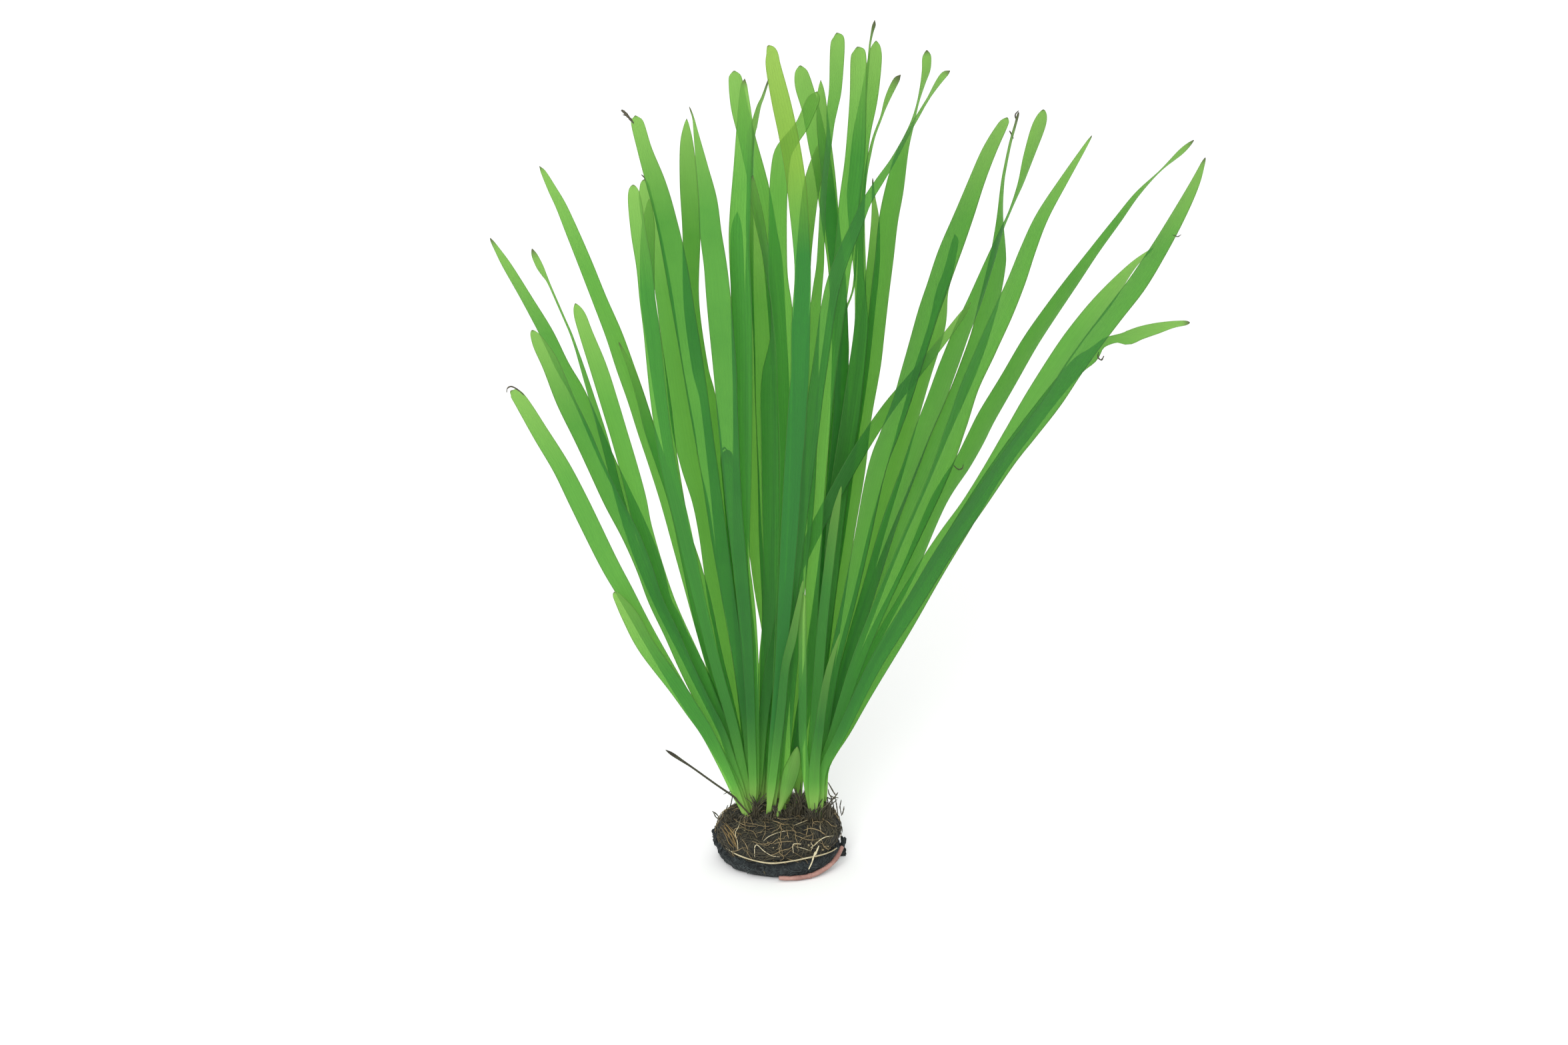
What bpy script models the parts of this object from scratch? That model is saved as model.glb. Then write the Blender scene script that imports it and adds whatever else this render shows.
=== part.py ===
"""Tape grass with its root ball: ribbon leaves fanned out over a flat pad of matted roots.

Metres, +Z up. The origin is the middle of the pad's flat underside. +X is to the right
and -Y is towards the side that the plant is looked at from.

Each leaf is drawn the way it is seen: a trace down its middle, with its width, on a
picture plane that faces the viewer. The leaf is then pushed back or forward along the
line of sight until it lies in its own layer of the fan.
"""
import math

import bmesh
import bpy
import numpy as np
from mathutils import Vector, noise

# Driving dimensions
PAD_RADIUS = 0.0240
MAT_HEIGHT = 0.0065
BALL_RIM_HEIGHT = 0.0165
BALL_TOP_HEIGHT = 0.0215
LEAF_THICKNESS = 0.00035
GAP = 0.0003

# How the traces are looked at
VIEW_ELEVATION = math.radians(21.0)
VIEW_DISTANCE = 2.5
PIXEL = 0.000263
ORIGIN_PIXEL = (1170.0, 1283.0)
PICTURE_CENTRE = (1176.0, 784.0)
PLACING_ROUNDS = 8

# The fan: neighbouring layers stand a base pitch apart, and part as they rise
BASE_PITCH = 0.0008
BASE_SHIFT = 0.0015
FAN_PITCH = 0.0058
FAN_HEIGHT = 0.320
FAN_POWER = 1.4
SWAY_SHARE = 0.28
SWAY_WAVES = 1.2
SWAY_STEP = 2.1

# Leaf blades
MOST_ROWS = 13
ROWS_BEYOND_KNOTS = 2
POINTS_PER_KNOT = 26
TIP_CROWDING = 1.3
CHANNEL_SHARE = 0.06
FULL_WIDTH_FROM_TIP = 30.0
FULL_WIDTH_FROM_BASE = 450.0
LEAN_TURN = math.radians(42)
OWN_TURN = math.radians(13)
OWN_TURN_RATE = 3
TURN_SPREAD = 380.0
TURN_RISE = 520.0
BALL_CLEARANCE = 0.0009
BASE_EXTENSION = 40.0

# The turned bodies under the leaves
TURN_STEPS = 32
RIPPLE = 0.0006
RIPPLE_FINENESS = (170, 420)

# Layers count from the front (negative) to the back (positive).
# A trace runs from tip to base: (pixel across, pixel down, width in pixels).
# full_width is the blade's real width where a leaf is seen partly edge on.
LEAVES = {
    "leaf_01": dict(layer=-9, trace=[
        (766, 586, 9), (779, 598, 19), (811, 650, 24), (841, 700, 26), (866, 750, 28),
        (891, 800, 28), (916, 850, 27), (937, 888, 25), (971, 950, 22),
        (1029, 1050, 20), (1061, 1100, 18), (1089, 1150, 15), (1113, 1200, 13)]),
    "leaf_02": dict(layer=-12, trace=[
        (921, 888, 9), (945, 925, 24), (970, 970, 26), (1014, 1030, 24),
        (1038, 1065, 22), (1061, 1100, 19), (1086, 1150, 16), (1108, 1200, 13)]),
    "leaf_03": dict(layer=-7, trace=[
        (798, 495, 8), (810, 518, 20), (827, 550, 25), (848, 600, 27), (872, 650, 27),
        (894, 700, 25), (918, 750, 26), (944, 800, 26), (965, 850, 24), (983, 900, 22),
        (1007, 950, 22), (1029, 1000, 22), (1053, 1050, 21), (1080, 1100, 18),
        (1098, 1150, 16), (1116, 1200, 13)]),
    "leaf_04": dict(layer=5, trace=[
        (735, 357, 3), (746, 375, 8), (761, 400, 13), (791, 450, 16), (820, 500, 20),
        (844, 550, 21), (872, 600, 22), (916, 700, 22), (964, 800, 21), (984, 850, 20),
        (997, 900, 19), (1010, 925, 19), (1022, 950, 18), (1035, 975, 18),
        (1058, 1020, 18), (1084, 1090, 17), (1102, 1150, 15), (1117, 1200, 13)]),
    "leaf_05": dict(layer=1, full_width=13, trace=[
        (798, 373, 4), (803, 385, 9), (810, 400, 10), (816, 412, 7), (823, 425, 3),
        (834, 450, 2), (845, 475, 2), (856, 500, 3), (865, 525, 4), (873, 550, 6),
        (888, 600, 9), (896, 625, 10), (911, 675, 12), (945, 800, 13), (985, 900, 13),
        (1035, 1000, 13), (1085, 1100, 13), (1103, 1150, 13), (1118, 1200, 12)]),
    "leaf_06": dict(layer=-1, trace=[
        (863, 455, 6), (870, 473, 17), (879, 500, 20), (897, 550, 25), (913, 600, 26),
        (928, 650, 26), (942, 700, 27), (955, 750, 28), (967, 800, 26), (1000, 900, 23),
        (1043, 990, 18), (1068, 1050, 17), (1090, 1100, 16), (1107, 1150, 15),
        (1120, 1200, 13)]),
    "leaf_07": dict(layer=12, trace=[
        (809, 249, 2), (816, 260, 8), (829, 285, 13), (842, 310, 16), (859, 350, 19),
        (880, 400, 21), (900, 450, 22), (920, 500, 25), (937, 550, 27), (955, 600, 27),
        (971, 650, 27), (987, 700, 26), (1010, 775, 25), (1046, 915, 21),
        (1066, 990, 19), (1095, 1100, 16), (1110, 1150, 15), (1122, 1200, 13)]),
    "leaf_08": dict(layer=7, trace=[
        (928, 513, 2), (945, 550, 8), (962, 600, 13), (976, 650, 16), (1011, 750, 18),
        (1034, 850, 20), (1056, 950, 21), (1086, 1050, 18), (1113, 1150, 15),
        (1123, 1200, 13)]),
    "leaf_09": dict(layer=-5, trace=[
        (950, 277, 10), (952, 300, 19), (958, 350, 22), (966, 400, 23), (971, 450, 23),
        (978, 500, 24), (988, 600, 24), (1003, 700, 23), (1026, 800, 22),
        (1049, 900, 18), (1074, 1000, 16), (1102, 1100, 15), (1122, 1200, 13)]),
    "leaf_10": dict(layer=10, trace=[
        (966, 269, 10), (969, 300, 20), (979, 350, 24), (989, 400, 24), (997, 450, 25),
        (1004, 500, 26), (1011, 550, 27), (1018, 600, 31), (1026, 650, 33),
        (1036, 700, 28), (1050, 750, 24), (1059, 800, 22), (1066, 850, 22),
        (1073, 900, 22), (1082, 950, 20), (1091, 1000, 19), (1101, 1050, 17),
        (1110, 1100, 15), (1119, 1150, 13), (1125, 1200, 12)]),
    "leaf_11": dict(layer=0, trace=[
        (974, 298, 3), (973, 325, 15), (972, 350, 20), (971, 400, 21), (972, 450, 21),
        (979, 500, 22), (994, 600, 23), (1005, 678, 19), (1017, 750, 19),
        (1027, 800, 18), (1043, 850, 18), (1057, 900, 18), (1068, 950, 17),
        (1079, 1000, 17), (1092, 1050, 16), (1115, 1150, 15), (1124, 1200, 13)]),
    "leaf_12": dict(layer=-3, trace=[
        (953, 173, 6), (956, 185, 18), (967, 225, 21), (984, 275, 28), (998, 325, 30),
        (1014, 400, 33), (1031, 500, 32), (1047, 600, 30), (1063, 700, 26),
        (1078, 800, 24), (1093, 900, 20), (1109, 1000, 16), (1121, 1100, 13),
        (1126, 1200, 12)]),
    "leaf_13": dict(layer=4, trace=[
        (1030, 178, 3), (1030, 215, 19), (1033, 275, 26), (1037, 350, 26),
        (1037, 450, 23), (1050, 550, 24), (1062, 600, 24), (1074, 700, 24),
        (1088, 850, 22), (1102, 950, 18), (1115, 1050, 16), (1127, 1200, 12)]),
    "leaf_14": dict(layer=-8, trace=[
        (1034, 160, 2), (1040, 178, 3), (1044, 200, 7), (1053, 250, 17), (1062, 300, 26),
        (1066, 350, 31), (1073, 400, 33), (1078, 450, 35), (1087, 550, 34),
        (1090, 600, 31), (1100, 750, 24), (1110, 850, 21), (1119, 950, 18),
        (1125, 1050, 14), (1130, 1200, 12)]),
    "leaf_15": dict(layer=9, trace=[
        (1092, 675, 14), (1091, 690, 20), (1095, 725, 22), (1105, 850, 21),
        (1109, 925, 18), (1118, 1050, 16), (1128, 1180, 12)]),
    "leaf_16": dict(layer=11, trace=[
        (1101, 106, 9), (1103, 119, 20), (1109, 160, 25), (1120, 205, 25),
        (1134, 260, 28), (1142, 293, 28), (1152, 350, 28), (1160, 400, 28),
        (1167, 500, 25), (1172, 600, 25), (1172, 700, 24), (1166, 850, 23),
        (1160, 1000, 20), (1155, 1100, 16), (1150, 1205, 14)]),
    "leaf_17": dict(layer=-6, trace=[
        (1117, 118, 3), (1116, 135, 11), (1117, 190, 23), (1114, 250, 26),
        (1110, 325, 30), (1109, 375, 30), (1113, 475, 29), (1114, 625, 28),
        (1113, 720, 27), (1112, 800, 25), (1113, 845, 23), (1118, 880, 22),
        (1123, 920, 21), (1128, 985, 19), (1131, 1050, 15), (1132, 1100, 13),
        (1133, 1200, 12)]),
    "leaf_18": dict(layer=6, full_width=22, trace=[
        (1153, 118, 2), (1143, 145, 4), (1137, 160, 6), (1130, 190, 10),
        (1127, 205, 11), (1126, 260, 9), (1125, 350, 10), (1124, 500, 14),
        (1125, 600, 17), (1128, 700, 20), (1132, 800, 21), (1138, 860, 20),
        (1144, 900, 20), (1152, 945, 19), (1157, 1000, 17), (1160, 1060, 16),
        (1161, 1120, 14), (1159, 1200, 12)]),
    "leaf_19": dict(layer=0, full_width=24, trace=[
        (1129, 263, 2), (1131, 285, 11), (1139, 325, 14), (1148, 375, 11),
        (1157, 425, 11), (1161, 460, 9), (1162, 500, 10), (1159, 530, 16),
        (1155, 560, 23), (1154, 600, 26), (1155, 650, 26), (1156, 720, 26),
        (1157, 800, 25), (1157, 880, 23), (1153, 945, 21), (1148, 990, 19),
        (1144, 1060, 17), (1142, 1120, 14), (1141, 1200, 12)]),
    "leaf_20": dict(layer=-12, trace=[
        (1152, 68, 8), (1158, 80, 16), (1160, 100, 21), (1171, 150, 26),
        (1182, 200, 27), (1191, 250, 27), (1197, 300, 27), (1204, 400, 23),
        (1202, 466, 26), (1201, 500, 27), (1200, 560, 26), (1197, 600, 27),
        (1193, 660, 27), (1190, 700, 26), (1184, 800, 25), (1171, 1000, 17),
        (1162, 1100, 15), (1155, 1200, 13)]),
    "leaf_21": dict(layer=3, trace=[
        (1122, 288, 3), (1127, 315, 15), (1131, 350, 23), (1137, 400, 28),
        (1141, 450, 30), (1145, 500, 30), (1148, 600, 30), (1150, 700, 27),
        (1150, 800, 23), (1151, 850, 21), (1153, 900, 20), (1153, 945, 20),
        (1150, 990, 19), (1148, 1060, 17), (1147, 1120, 14), (1147, 1200, 12)]),
    "leaf_22": dict(layer=-4, trace=[
        (1226, 137, 4), (1220, 150, 18), (1204, 186, 19), (1189, 207, 21),
        (1175, 228, 25), (1170, 255, 26), (1168, 290, 26), (1167, 340, 26),
        (1166, 400, 28), (1168, 430, 29), (1173, 466, 30), (1177, 520, 27),
        (1179, 600, 25), (1182, 700, 24), (1177, 850, 20), (1169, 1000, 18),
        (1162, 1200, 13)]),
    "leaf_23": dict(layer=12, trace=[
        (1200, 98, 8), (1202, 110, 20), (1206, 130, 26), (1216, 165, 26),
        (1226, 215, 28), (1235, 260, 27), (1245, 330, 25), (1255, 405, 25),
        (1260, 500, 25), (1260, 550, 25), (1250, 750, 24), (1225, 950, 20),
        (1211, 1050, 17), (1195, 1130, 15), (1183, 1195, 13)]),
    "leaf_24": dict(layer=8, trace=[
        (1228, 215, 2), (1225, 250, 23), (1215, 295, 24), (1206, 375, 22),
        (1203, 450, 22), (1201, 500, 23), (1200, 600, 22), (1197, 700, 22),
        (1190, 850, 20), (1181, 1000, 18), (1172, 1100, 15), (1167, 1200, 12)]),
    "leaf_25": dict(layer=0.7, trace=[
        (1231, 120, 2), (1232, 145, 12), (1235, 190, 18), (1242, 260, 20),
        (1248, 335, 21), (1256, 405, 20), (1262, 500, 20), (1262, 600, 20),
        (1248, 750, 19), (1222, 950, 17), (1200, 1080, 15), (1182, 1195, 12)]),
    "leaf_26": dict(layer=-7, full_width=22, trace=[
        (1255, 49, 8), (1256, 66, 20), (1254, 130, 18), (1249, 165, 15), (1245, 200, 9),
        (1237, 270, 8), (1233, 340, 9), (1231, 365, 9), (1229, 400, 11),
        (1225, 440, 14), (1219, 520, 18), (1216, 600, 22), (1213, 700, 22),
        (1206, 800, 21), (1197, 900, 18), (1180, 1100, 15), (1176, 1200, 13)]),
    "leaf_27": dict(layer=-5, trace=[
        (1286, 70, 10), (1287, 86, 22), (1287, 150, 24), (1283, 230, 28),
        (1275, 300, 30), (1267, 375, 27), (1260, 425, 25), (1237, 600, 25),
        (1228, 700, 25), (1222, 800, 23), (1218, 900, 20), (1216, 1000, 18),
        (1216, 1100, 16), (1215, 1195, 13)]),
    "leaf_28": dict(layer=0, trace=[
        (1314, 61, 6), (1313, 75, 16), (1311, 95, 21), (1303, 150, 25), (1292, 205, 25),
        (1286, 260, 25), (1284, 300, 26), (1288, 400, 15), (1291, 450, 17),
        (1291, 500, 21), (1279, 600, 26), (1264, 700, 27), (1252, 800, 25),
        (1243, 900, 20), (1232, 1000, 15), (1224, 1100, 14), (1217, 1195, 13)]),
    "leaf_29": dict(layer=7, full_width=16, trace=[
        (1312, 30, 2), (1311, 38, 5), (1308, 50, 3), (1305, 65, 2), (1303, 85, 2),
        (1298, 150, 3), (1292, 230, 4), (1287, 330, 3), (1281, 425, 2), (1269, 464, 2),
        (1263, 495, 5), (1257, 560, 10), (1252, 640, 14), (1244, 750, 16),
        (1235, 900, 16), (1226, 1050, 15), (1219, 1195, 12)]),
    "leaf_30": dict(layer=1.9, full_width=18, trace=[
        (1351, 112, 3), (1344, 121, 9), (1332, 146, 8), (1322, 175, 3), (1311, 205, 3),
        (1304, 235, 4), (1299, 262, 4), (1295, 300, 5), (1292, 350, 9), (1292, 420, 13),
        (1289, 500, 17), (1275, 600, 19), (1261, 700, 19), (1250, 800, 18),
        (1240, 900, 17), (1229, 1030, 15), (1221, 1195, 12)]),
    "leaf_31": dict(layer=4.3, full_width=24, trace=[
        (1390, 75, 6), (1390, 87, 13), (1389, 105, 12), (1384, 125, 7), (1376, 155, 3),
        (1368, 185, 6), (1358, 215, 13), (1352, 235, 19), (1342, 285, 27),
        (1332, 335, 28), (1325, 400, 27), (1313, 500, 26), (1308, 550, 24),
        (1295, 633, 23), (1286, 700, 25), (1270, 800, 24), (1256, 900, 21),
        (1240, 1020, 18), (1229, 1110, 15), (1222, 1195, 13)]),
    "leaf_32": dict(layer=-10, full_width=18, trace=[
        (1425, 106, 4), (1414, 115, 9), (1391, 150, 3), (1374, 178, 4), (1358, 206, 5),
        (1338, 243, 8), (1320, 271, 11), (1300, 303, 13), (1286, 335, 16),
        (1261, 395, 20), (1243, 460, 21), (1228, 560, 22), (1218, 640, 22),
        (1208, 720, 21), (1198, 800, 20), (1185, 900, 18), (1175, 1000, 17),
        (1168, 1100, 15), (1160, 1205, 13)]),
    "leaf_33": dict(layer=10, trace=[
        (1309, 267, 2), (1310, 290, 4), (1313, 330, 12), (1311, 375, 17),
        (1309, 400, 19), (1304, 450, 20), (1293, 550, 20), (1272, 700, 20),
        (1258, 800, 19), (1244, 900, 18), (1234, 1000, 16), (1225, 1100, 14),
        (1222, 1195, 12)]),
    "leaf_34": dict(layer=-4, trace=[
        (1511, 176, 7), (1504, 188, 14), (1485, 225, 20), (1464, 275, 23),
        (1445, 325, 28), (1426, 375, 32), (1408, 425, 31), (1390, 475, 30),
        (1369, 550, 28), (1354, 600, 26), (1335, 650, 27), (1317, 700, 27),
        (1295, 800, 24), (1274, 900, 21), (1251, 1000, 17), (1236, 1100, 14),
        (1222, 1195, 12)]),
    "leaf_35": dict(layer=8, trace=[
        (1432, 351, 2), (1432, 365, 10), (1422, 410, 14), (1413, 440, 18),
        (1405, 490, 25), (1384, 560, 27), (1373, 600, 26), (1358, 650, 26),
        (1343, 700, 26), (1315, 800, 24), (1289, 900, 21), (1261, 1000, 17),
        (1243, 1100, 14), (1228, 1195, 12)]),
    "leaf_36": dict(layer=1, full_width=24, trace=[
        (1565, 164, 8), (1558, 188, 19), (1543, 235, 15), (1531, 275, 8),
        (1515, 315, 3), (1502, 345, 5), (1491, 375, 10), (1482, 400, 14),
        (1463, 450, 20), (1441, 500, 24), (1422, 550, 27), (1404, 600, 27),
        (1383, 650, 25), (1365, 700, 24), (1330, 800, 23), (1299, 900, 21),
        (1269, 1000, 18), (1245, 1100, 14), (1226, 1195, 12)]),
    "leaf_37": dict(layer=-2, trace=[
        (1456, 454, 3), (1442, 474, 9), (1412, 514, 12), (1372, 563, 14),
        (1332, 611, 17), (1292, 673, 20), (1256, 736, 20), (1221, 801, 19),
        (1185, 880, 19), (1160, 980, 17), (1150, 1040, 16), (1143, 1100, 14),
        (1135, 1205, 12)]),
    "leaf_38": dict(layer=5.2, full_width=24, trace=[
        (1528, 168, 4), (1524, 183, 3), (1519, 200, 3), (1514, 220, 3), (1508, 250, 3),
        (1504, 275, 4), (1500, 325, 9), (1497, 375, 21), (1494, 400, 26),
        (1484, 450, 29), (1471, 500, 27), (1453, 550, 27), (1433, 600, 26),
        (1390, 700, 25), (1347, 800, 23), (1308, 900, 22), (1274, 1000, 18),
        (1247, 1100, 15), (1235, 1150, 13), (1230, 1197, 12)]),
    "leaf_39": dict(layer=-7, trace=[
        (1638, 203, 2), (1624, 225, 6), (1596, 270, 12), (1564, 325, 18),
        (1542, 375, 22), (1523, 425, 26), (1502, 475, 29), (1479, 525, 28),
        (1454, 580, 27), (1435, 640, 29), (1414, 700, 28), (1370, 800, 25),
        (1324, 900, 22), (1284, 1000, 19), (1251, 1100, 15), (1234, 1150, 13),
        (1229, 1197, 12)]),
    "leaf_40": dict(layer=11, full_width=16, trace=[
        (1791, 210, 3), (1772, 227, 8), (1740, 256, 2), (1706, 291, 7), (1676, 331, 11),
        (1641, 377, 14), (1607, 424, 19), (1575, 470, 22), (1543, 517, 24),
        (1512, 569, 25), (1481, 623, 27), (1463, 660, 27), (1444, 695, 25),
        (1409, 750, 24), (1366, 850, 23), (1315, 950, 21), (1271, 1050, 18),
        (1238, 1150, 13), (1231, 1197, 12)]),
    "leaf_41": dict(layer=-10, trace=[
        (1808, 236, 3), (1792, 275, 13), (1766, 325, 20), (1738, 375, 24),
        (1706, 425, 27), (1668, 475, 27), (1614, 550, 27), (1580, 600, 26),
        (1542, 650, 25), (1504, 700, 24), (1437, 798, 25), (1373, 900, 24),
        (1311, 1000, 20), (1262, 1100, 16), (1240, 1142, 13), (1232, 1165, 12),
        (1231, 1197, 12)]),
    "leaf_42": dict(layer=6.5, trace=[
        (1730, 372, 2), (1698, 400, 11), (1656, 450, 26), (1616, 500, 28),
        (1581, 550, 28), (1549, 600, 28), (1519, 650, 24), (1489, 700, 21),
        (1453, 757, 21), (1414, 811, 21), (1357, 900, 22), (1300, 1000, 20),
        (1257, 1100, 16), (1238, 1148, 13), (1231, 1197, 12)]),
    "leaf_43": dict(layer=-5, trace=[
        (1785, 484, 6), (1760, 487, 10), (1735, 493, 16), (1710, 500, 19),
        (1692, 507, 20), (1676, 508, 12), (1661, 512, 12), (1649, 520, 12),
        (1635, 535, 22), (1614, 553, 23), (1575, 598, 22), (1537, 646, 23),
        (1500, 698, 23), (1434, 803, 27), (1366, 919, 28), (1299, 1034, 25),
        (1267, 1094, 21), (1251, 1121, 18), (1239, 1145, 15), (1235, 1165, 14),
        (1235, 1200, 14)]),
    "leaf_44": dict(layer=-8, trace=[
        (1262, 729, 2), (1253, 775, 12), (1243, 850, 14), (1233, 950, 15),
        (1222, 1080, 14), (1212, 1190, 12)]),
    "leaf_45": dict(layer=-13, trace=[
        (1205, 870, 3), (1190, 950, 12), (1178, 1000, 12), (1172, 1060, 13),
        (1165, 1120, 13), (1155, 1200, 12)]),
    "leaf_46": dict(layer=-12, trace=[
        (1206, 890, 4), (1204, 930, 11), (1204, 1000, 12), (1204, 1100, 12),
        (1208, 1150, 12), (1213, 1190, 11)]),
    "leaf_47": dict(layer=-13, trace=[
        (1260, 950, 2), (1245, 1000, 9), (1235, 1050, 12), (1228, 1100, 14),
        (1222, 1150, 16), (1221, 1190, 17)]),
    "leaf_48": dict(layer=2, trace=[
        (1196, 560, 3), (1197, 590, 14), (1198, 650, 18), (1197, 750, 20),
        (1195, 850, 20), (1194, 950, 19), (1194, 1050, 18), (1194, 1100, 18),
        (1196, 1150, 18), (1198, 1195, 16)]),
    "leaf_49": dict(layer=1.5, trace=[
        (1106, 318, 3), (1105, 345, 16), (1106, 400, 20), (1108, 500, 21),
        (1111, 600, 22), (1112, 700, 22), (1111, 800, 21), (1112, 845, 20),
        (1117, 900, 19), (1123, 950, 18), (1127, 1000, 16), (1131, 1100, 13),
        (1134, 1200, 12)]),
    "young_leaf": dict(layer=-14, trace=[
        (1196, 1120, 4), (1192, 1140, 18), (1186, 1160, 24), (1179, 1185, 19),
        (1172, 1206, 12)]),
    "dead_leaf": dict(layer=-14, trace=[
        (998, 1125, 2), (1009, 1132, 5), (1024, 1142, 4), (1039, 1152, 3),
        (1074, 1177, 3), (1100, 1195, 3), (1108, 1204, 3)]),
}

# The roots that show on the pad's wall: (degrees round from the front, height)
RUNNER_RADIUS = 0.00095
RUNNER_REACH = PAD_RADIUS + 0.0018
RUNNER_ROUTE = [
    (-1, 0.0017), (10, 0.0014), (25, 0.0013), (38, 0.0021), (51, 0.0034), (62, 0.0052),
    (71, 0.0072)]
LOW_ROOT_RADIUS = 0.00045
LOW_ROOT_REACH = PAD_RADIUS + 0.0013
LOW_ROOT_ROUTE = [
    (-56, 0.0091), (-40, 0.0086), (-23, 0.0080), (-7, 0.0077), (10, 0.0085),
    (24, 0.0090), (40, 0.0087), (52, 0.0084), (62, 0.0083)]
UPRIGHT_ROOT_RADIUS = 0.0004
UPRIGHT_ROOT_REACH = PAD_RADIUS + 0.0025
UPRIGHT_ROOT_ROUTE = [(35, 0.0137), (33, 0.0118), (30, 0.0098), (28, 0.0072), (25, 0.0046)]

# Colours, roughness
FINISHES = {
    "leaf_green": ((0.11, 0.30, 0.05, 1.0), 0.45),
    "leaf_yellow_green": ((0.26, 0.42, 0.08, 1.0), 0.5),
    "leaf_dead": ((0.045, 0.045, 0.035, 1.0), 0.8),
    "matted_roots": ((0.075, 0.062, 0.035, 1.0), 0.95),
    "dark_mat": ((0.035, 0.042, 0.042, 1.0), 0.95),
    "runner_skin": ((0.35, 0.17, 0.13, 1.0), 0.6),
    "pale_root": ((0.58, 0.50, 0.32, 1.0), 0.7),
}


def clear_scene():
    """Removes what the scene holds, so that only the plant is left at the end."""
    for obj in list(bpy.data.objects):
        bpy.data.objects.remove(obj)


def finish(name):
    """The named material, made the first time that it is asked for."""
    found = bpy.data.materials.get(name)
    if found:
        return found
    colour, roughness = FINISHES[name]
    made = bpy.data.materials.new(name)
    made.use_nodes = True
    shader = made.node_tree.nodes["Principled BSDF"]
    shader.inputs["Base Color"].default_value = colour
    shader.inputs["Roughness"].default_value = roughness
    made.diffuse_color = colour
    return made


def add_object(collection, name, data, material):
    """A new object of the plant, in its collection and with its material."""
    obj = bpy.data.objects.new(name, data)
    obj.data.materials.append(finish(material))
    collection.objects.link(obj)
    return obj


def dome_height(x, y):
    """Height of the root ball's rounded top over a point of the floor."""
    share = min((x * x + y * y) / PAD_RADIUS**2, 1.0)
    return BALL_TOP_HEIGHT - (BALL_TOP_HEIGHT - BALL_RIM_HEIGHT) * share


# The viewer's own axes, and the eye's place on the line through the origin pixel
FORWARD = np.array([0.0, math.cos(VIEW_ELEVATION), -math.sin(VIEW_ELEVATION)])
RIGHTWARD = np.array([1.0, 0.0, 0.0])
UPWARD = np.array([0.0, math.sin(VIEW_ELEVATION), math.cos(VIEW_ELEVATION)])
CENTRE_OFFSET = (
    (PICTURE_CENTRE[0] - ORIGIN_PIXEL[0]) * PIXEL * RIGHTWARD
    + (ORIGIN_PIXEL[1] - PICTURE_CENTRE[1]) * PIXEL * UPWARD)
EYE = CENTRE_OFFSET - VIEW_DISTANCE * FORWARD


def sight_line(across, down):
    """Direction from the eye through a pixel, one view distance long straight ahead."""
    return (VIEW_DISTANCE * FORWARD
            + (across - PICTURE_CENTRE[0]) * PIXEL * RIGHTWARD
            + (PICTURE_CENTRE[1] - down) * PIXEL * UPWARD)


def layer_depth(layer, height, sway):
    """How far back a layer of the fan lies at a height above the root ball."""
    rise = max(height - BALL_TOP_HEIGHT, 0.0) / FAN_HEIGHT
    opening = FAN_PITCH * rise**FAN_POWER
    wave = SWAY_SHARE * math.sin(sway + 2 * math.pi * SWAY_WAVES * rise)
    return BASE_SHIFT + layer * (BASE_PITCH + opening) + wave * opening


def place_in_layer(across, down, layer, sway):
    """The point on a pixel's line of sight that lies in a layer of the fan."""
    line = sight_line(across, down)
    depth = BASE_SHIFT
    for _ in range(PLACING_ROUNDS):
        point = EYE + line * (depth - EYE[1]) / line[1]
        depth = layer_depth(layer, point[2], sway)
    return EYE + line * (depth - EYE[1]) / line[1]


def smooth_through(knots, count):
    """Points on a smooth curve through the knots, evenly shared between them."""
    knots = np.asarray(knots, float)
    padded = np.vstack([2 * knots[0] - knots[1], knots, 2 * knots[-1] - knots[-2]])
    curve = []
    for place in np.linspace(0, len(knots) - 1, count):
        start = min(int(place), len(knots) - 2)
        t = place - start
        a, b, c, d = padded[start:start + 4]
        curve.append(0.5 * (2 * b + (c - a) * t + (2 * a - 5 * b + 4 * c - d) * t**2
                            + (3 * b - a - 3 * c + d) * t**3))
    return np.array(curve)


def smooth_step(share):
    """An even rise from 0 to 1 with a soft start and end."""
    share = np.clip(share, 0, 1)
    return share * share * (3 - 2 * share)


def natural_turn(tip_across, sway):
    """How far a blade's face turns towards the plant's middle, by where its tip leans."""
    lean = np.clip((tip_across - ORIGIN_PIXEL[0]) / TURN_SPREAD, -1, 1)
    own = OWN_TURN * math.cos(OWN_TURN_RATE * sway)
    return LEAN_TURN * np.sign(lean) * abs(lean) ** 0.5 + own


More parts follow.
